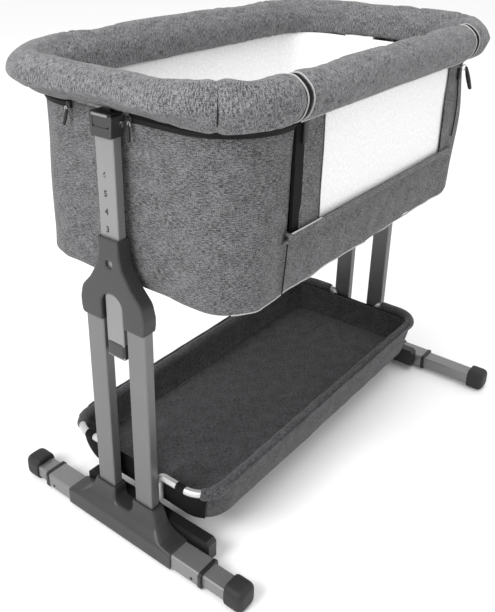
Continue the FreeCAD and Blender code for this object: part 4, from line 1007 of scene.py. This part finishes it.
def basket_tub():
    """The fabric basket: its ring carried from the middle of the floor out and up to the rim. The side bows
    out by a sine of its height, gathers at the corners, wrinkles, and is rounded where it leaves the floor."""
    floor_rows, side_rows = 12, 26
    s = np.linspace(0, B_KNOTS[-1], 460, endpoint=False)[None, :]
    inward = np.concatenate([np.linspace(.999, .06, floor_rows), np.zeros(side_rows)])[:, None]
    up = np.concatenate([np.zeros(floor_rows), np.linspace(0, 1, side_rows)])[:, None]
    v = up * .07
    _, _, nx, ny = ring(s, 1, 1, 0.5, B_KNOTS)
    rim_z = .1325 + .0165 * ease(np.abs(ny), .55, .95)
    sag = .004 * np.sin(up * math.pi) * (1 + .5 * soft_noise(s, 0 * s, .12, 1, 91))
    corner_turn = 1 - np.abs(np.abs(nx) - np.abs(ny))
    gather = (.0080 * creases(s + .35 * v, v, .020, .11, 92) - .002) * ease(up, .15, .7) * corner_turn ** 2
    wrinkle = .0010 * soft_noise(s, v, .035, .04, 93) + .0010 * creases(s + .05 * up, v, .06, .05, 94)
    x, y = basket_ring(s, up, sag + (gather + wrinkle) * ease(up, 0, .1))
    x, y = x * (1 - inward), y * (1 - inward)
    quarter = 1 - np.clip(up / .16, 0, 1)
    rounding = .010 * (1 - np.sqrt(np.clip(1 - quarter ** 2, 0, 1))) * (inward < .01)
    x, y = x - rounding * nx, y - rounding * ny
    uneven = .0008 * soft_noise(x, y, .09, .09, 95) * (inward > .01)
    z = BASKET_FLOOR_Z + up * (rim_z - BASKET_FLOOR_Z) + uneven
    uv = stacked(np.append(s, B_KNOTS[-1])[None, :], up * .08 - inward * .2)
    tub = thicken(surface("basket_cloth", stacked(x, y, z), uv, wrap=(False, True)), .0018, 0)
    finish_piece(tub, "stand", "fabric_charcoal", linen_dark, ["basket"])


def basket_floor():
    """The padded floor board: its ring carried under, round its edge by a half circle, and in over the top,
    which is uneven by two smooth random fields."""
    half_x, half_y, corner = .364, .154, .045
    knots = ring_knots(half_x, half_y, corner)
    s = np.linspace(0, knots[-1], 220, endpoint=False)[None, :]
    below, turn, above = np.zeros(4), np.linspace(0, math.pi, 7), np.ones(26)
    inward = np.concatenate([[.999, .5, .1, .02], 0 * turn, np.linspace(.015, .999, len(above))])[:, None]
    up = np.concatenate([below, .5 - .5 * np.cos(turn), above])[:, None]
    proud = np.concatenate([below, np.sin(turn), 0 * above])[:, None] * .0018
    x, y, _, _ = ring(s, half_x, half_y, corner, knots, proud)
    x, y = x * (1 - inward), y * (1 - inward)
    z = .0685 + up * (.0052 + .0012 * soft_noise(x, y, .10, .07, 96) + .0008 * soft_noise(x, y, .03, .03, 97))
    uv = stacked(np.append(x, x[:, :1], 1), np.append(y, y[:, :1], 1))
    insert = turn_faces_out(surface("basket_floor_insert", stacked(x, y, z), uv, wrap=(False, True)))
    finish_piece(subdivide(insert), "stand", "fabric_charcoal", linen_dark, ["basket_floor_board"])


basket_tub()
basket_floor()


def tube_hem(name, sign):
    """The rim rolled over a long-side tube and part way round its corners: a sleeve gathered at its ends."""
    near, far = np.radians(np.linspace(46, 0, 24)), np.radians(np.linspace(0, 90, 40))
    x = np.concatenate([-.3447 - .048 * np.sin(near), np.linspace(-.3447, .3447, 140)[1:-1],
                        .3447 + .048 * np.sin(far), np.full(14, .3927)])
    y = sign * np.concatenate([.118 + .048 * np.cos(near), np.full(138, .166), .118 + .048 * np.cos(far),
                               np.linspace(.118, .078, 15)[1:]])
    end = ease(np.abs(x), .33, .378) * (1 - .8 * ease(x, 0, .1))
    path = stacked(x, y, .1412 - .0016 * end)
    size = .0102 + .0008 * soft_noise(x, 0 * x, .03, 1, 98) + end * .0024 * creases(x, 0 * x, .011, 1, 99)
    return finish_piece(tube(name, path, size, 18), "stand", "fabric_charcoal", linen_dark)


tube_hem("basket_hem_front", -1)
tube_hem("basket_hem_rear", 1)

# Dark panels across the basket's two ends, hung from the bare tube.
for name, first in (("basket_end_near", 6), ("basket_end_far", 2)):
    middle = (B_KNOTS[first] + B_KNOTS[first + 1]) / 2
    across = np.linspace(middle - .150, middle + .150, 60)
    s, up = np.meshgrid(across, np.linspace(.12, 1.0, 14), indexing="xy")
    proud = .0030 + .0062 * np.sin(up * math.pi) + .0008 * soft_noise(s, up * .07, .03, .04, 101)
    x, y = basket_ring(s, up, proud)
    z = BASKET_FLOOR_Z + up * .0690
    panel = thicken(surface(name, stacked(x, y, z), stacked(y, z)), .0012, 0)
    finish_piece(panel, "stand", "webbing_black", band)

# ---------------------------------------------------------------- moulded ends and fittings
for end, x in (("near", -.4262), ("far", .4225)):
    strip = slab(end + "_head_strip", (x, -.0160, .7728), (x + .0037, .0160, .7768), .0008)
    finish_piece(strip, end + "_post", "steel_bright", mast_metal)
for end in ("near", "far"):
    low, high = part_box(end + "_upper_post")
    wider = Vector((.0012, .0012, 0))
    low, high = Vector((low.x, low.y, .3705)) - wider, Vector((high.x, high.y, .4030)) + wider
    plug = slab(end + "_post_end", low, high, .0065)
    finish_piece(plug, end + "_post", "plastic_grey", plastic, [end + "_post_plug"])


def soften(node_name, body, slot, cloth, cell, rounds, reshape=None):
    """A moulded part rounded all over: a new surface is built from even cells of its shape, then relaxed."""
    source = frame["nodes"][node_name]
    mesh = source.data.copy()
    mesh.materials.clear()
    part = placed(node_name + "_moulded", mesh)
    mesh.transform(source.matrix_world)
    modify(part, "REMESH", mode="VOXEL", voxel_size=cell, adaptivity=0.0, use_smooth_shade=True)
    modify(part, "SMOOTH", factor=0.5, iterations=rounds)
    bpy.context.view_layer.update()
    bake_modifiers(part)
    if reshape:
        reshape(part)
    return finish_piece(part, body, slot, cloth, [node_name])


def slim_shoulders(part):
    """Draws a yoke's shoulders in towards the posts it holds, most at their lowest edge."""
    at = np.empty(len(part.data.vertices) * 3, np.float32)
    part.data.vertices.foreach_get("co", at)
    at = at.reshape(-1, 3)
    limit = np.max(np.abs(at[:, 1]))
    at[:, 1] *= 1 - (1 - .0715 / limit) * ease(.560 - at[:, 2], 0, .06)
    part.data.vertices.foreach_set("co", at.reshape(-1))
    part.data.update()


for end in ("near", "far"):
    soften(end + "_yoke", "stand", "plastic_grey", plastic, .0018, 14, slim_shoulders)
    soften(end + "_shoe", "stand", "plastic_grey", plastic, .0022, 22)
    for place in ("front", "rear"):
        soften(f"{end}_{place}_cap", f"{end}_{place}_foot", "rubber_dark", rubber, .0020, 26)


# ---------------------------------------------------------------- numbers on the posts
def printed_number(name, digit, x, y, z, tall, outward, body):
    """A printed figure: a text curve made a mesh, then stood up on the post's outer face."""
    curve = bpy.data.curves.new(name, "FONT")
    curve.body, curve.size = digit, tall * 1.4
    curve.align_x = curve.align_y = "CENTER"
    curve.extrude, curve.offset = .00012, .00045
    source = placed(name + "_text", curve)
    bpy.context.view_layer.update()
    graph = bpy.context.evaluated_depsgraph_get()
    made = bpy.data.meshes.new_from_object(source.evaluated_get(graph))
    bpy.data.objects.remove(source)
    across = Vector((0, outward, 0))
    stand = Matrix((across, Vector((0, 0, 1)), Vector((outward, 0, 0)))).transposed().to_4x4()
    stand.translation = Vector((x, y, z))
    made.transform(stand)
    return finish_piece(placed(name, made), body, "metal_black", ink)


for end, sign in (("near", -1), ("far", 1)):
    low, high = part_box(end + "_upper_post")
    face = low.x if sign < 0 else high.x
    for step, digit in enumerate("65432"):
        height = .6835 - .0286 * step
        printed_number(f"{end}_number_{digit}", digit, face + sign * .0001, -.002 * sign, height, .0098, sign,
                       end + "_post")


# ---------------------------------------------------------------- camera, light, floor
def aim_camera():
    """A camera on a sphere round the target, by azimuth, elevation and roll."""
    azimuth, elevation, roll = math.radians(-52.4051), math.radians(25.2048), math.radians(0.9637)
    back = Vector((math.sin(azimuth) * math.cos(elevation), -math.cos(azimuth) * math.cos(elevation),
                   math.sin(elevation)))
    right = Vector((math.cos(azimuth), math.sin(azimuth), 0))
    up = back.cross(right)
    turned_right = math.cos(roll) * right + math.sin(roll) * up
    turned_up = -math.sin(roll) * right + math.cos(roll) * up
    lens = bpy.data.cameras.new("camera")
    lens.lens, lens.sensor_width, lens.sensor_fit = 44.47, 36, "AUTO"
    lens.shift_x, lens.shift_y = 0.01879, -0.0915
    camera = placed("camera", lens)
    place = Matrix((turned_right, turned_up, back)).transposed().to_4x4()
    place.translation = Vector((0.0217, 0.0989, 0.375)) + 1.5988 * back
    camera.matrix_world = place
    bpy.context.scene.camera = camera


def soft_light(name, where, towards, size, power):
    """A round lamp of this size and power, aimed at a point."""
    lamp = bpy.data.lights.new(name, "AREA")
    lamp.shape, lamp.size, lamp.energy = "DISK", size, power
    obj = placed(name, lamp)
    direction = Vector(towards) - Vector(where)
    obj.matrix_world = Matrix.Translation(where) @ direction.to_track_quat("-Z", "Y").to_matrix().to_4x4()


aim_camera()
soft_light("key_light", (-2.9, .2, 2.6), (0, 0, .5), 1.6, 90)
soft_light("top_light", (.6, -.6, 3.4), (0, 0, .5), 2.4, 30)
soft_light("fill_light", (1.2, -3.2, 1.6), (0, 0, .4), 2.2, 3)
world = bpy.data.worlds.new("studio")
bpy.context.scene.world = world
world.use_nodes = True
world.node_tree.nodes["Background"].inputs["Color"].default_value = (1, 1, 1, 1)
world.node_tree.nodes["Background"].inputs["Strength"].default_value = 1.0
floor = surface("floor", np.stack(np.meshgrid([-8.0, 8.0], [-8.0, 8.0], [0.0], indexing="ij"), -1)[:, :, 0])
pale = bpy.data.materials.new("floor_pale")
pale.use_nodes = True
for label, value in (("Base Color", (.93, .93, .93, 1)), ("Roughness", 1.0), ("Specular IOR Level", 0.0)):
    pale.node_tree.nodes["Principled BSDF"].inputs[label].default_value = value
floor.data.materials.append(pale)
bpy.context.scene.view_settings.view_transform = "Standard"
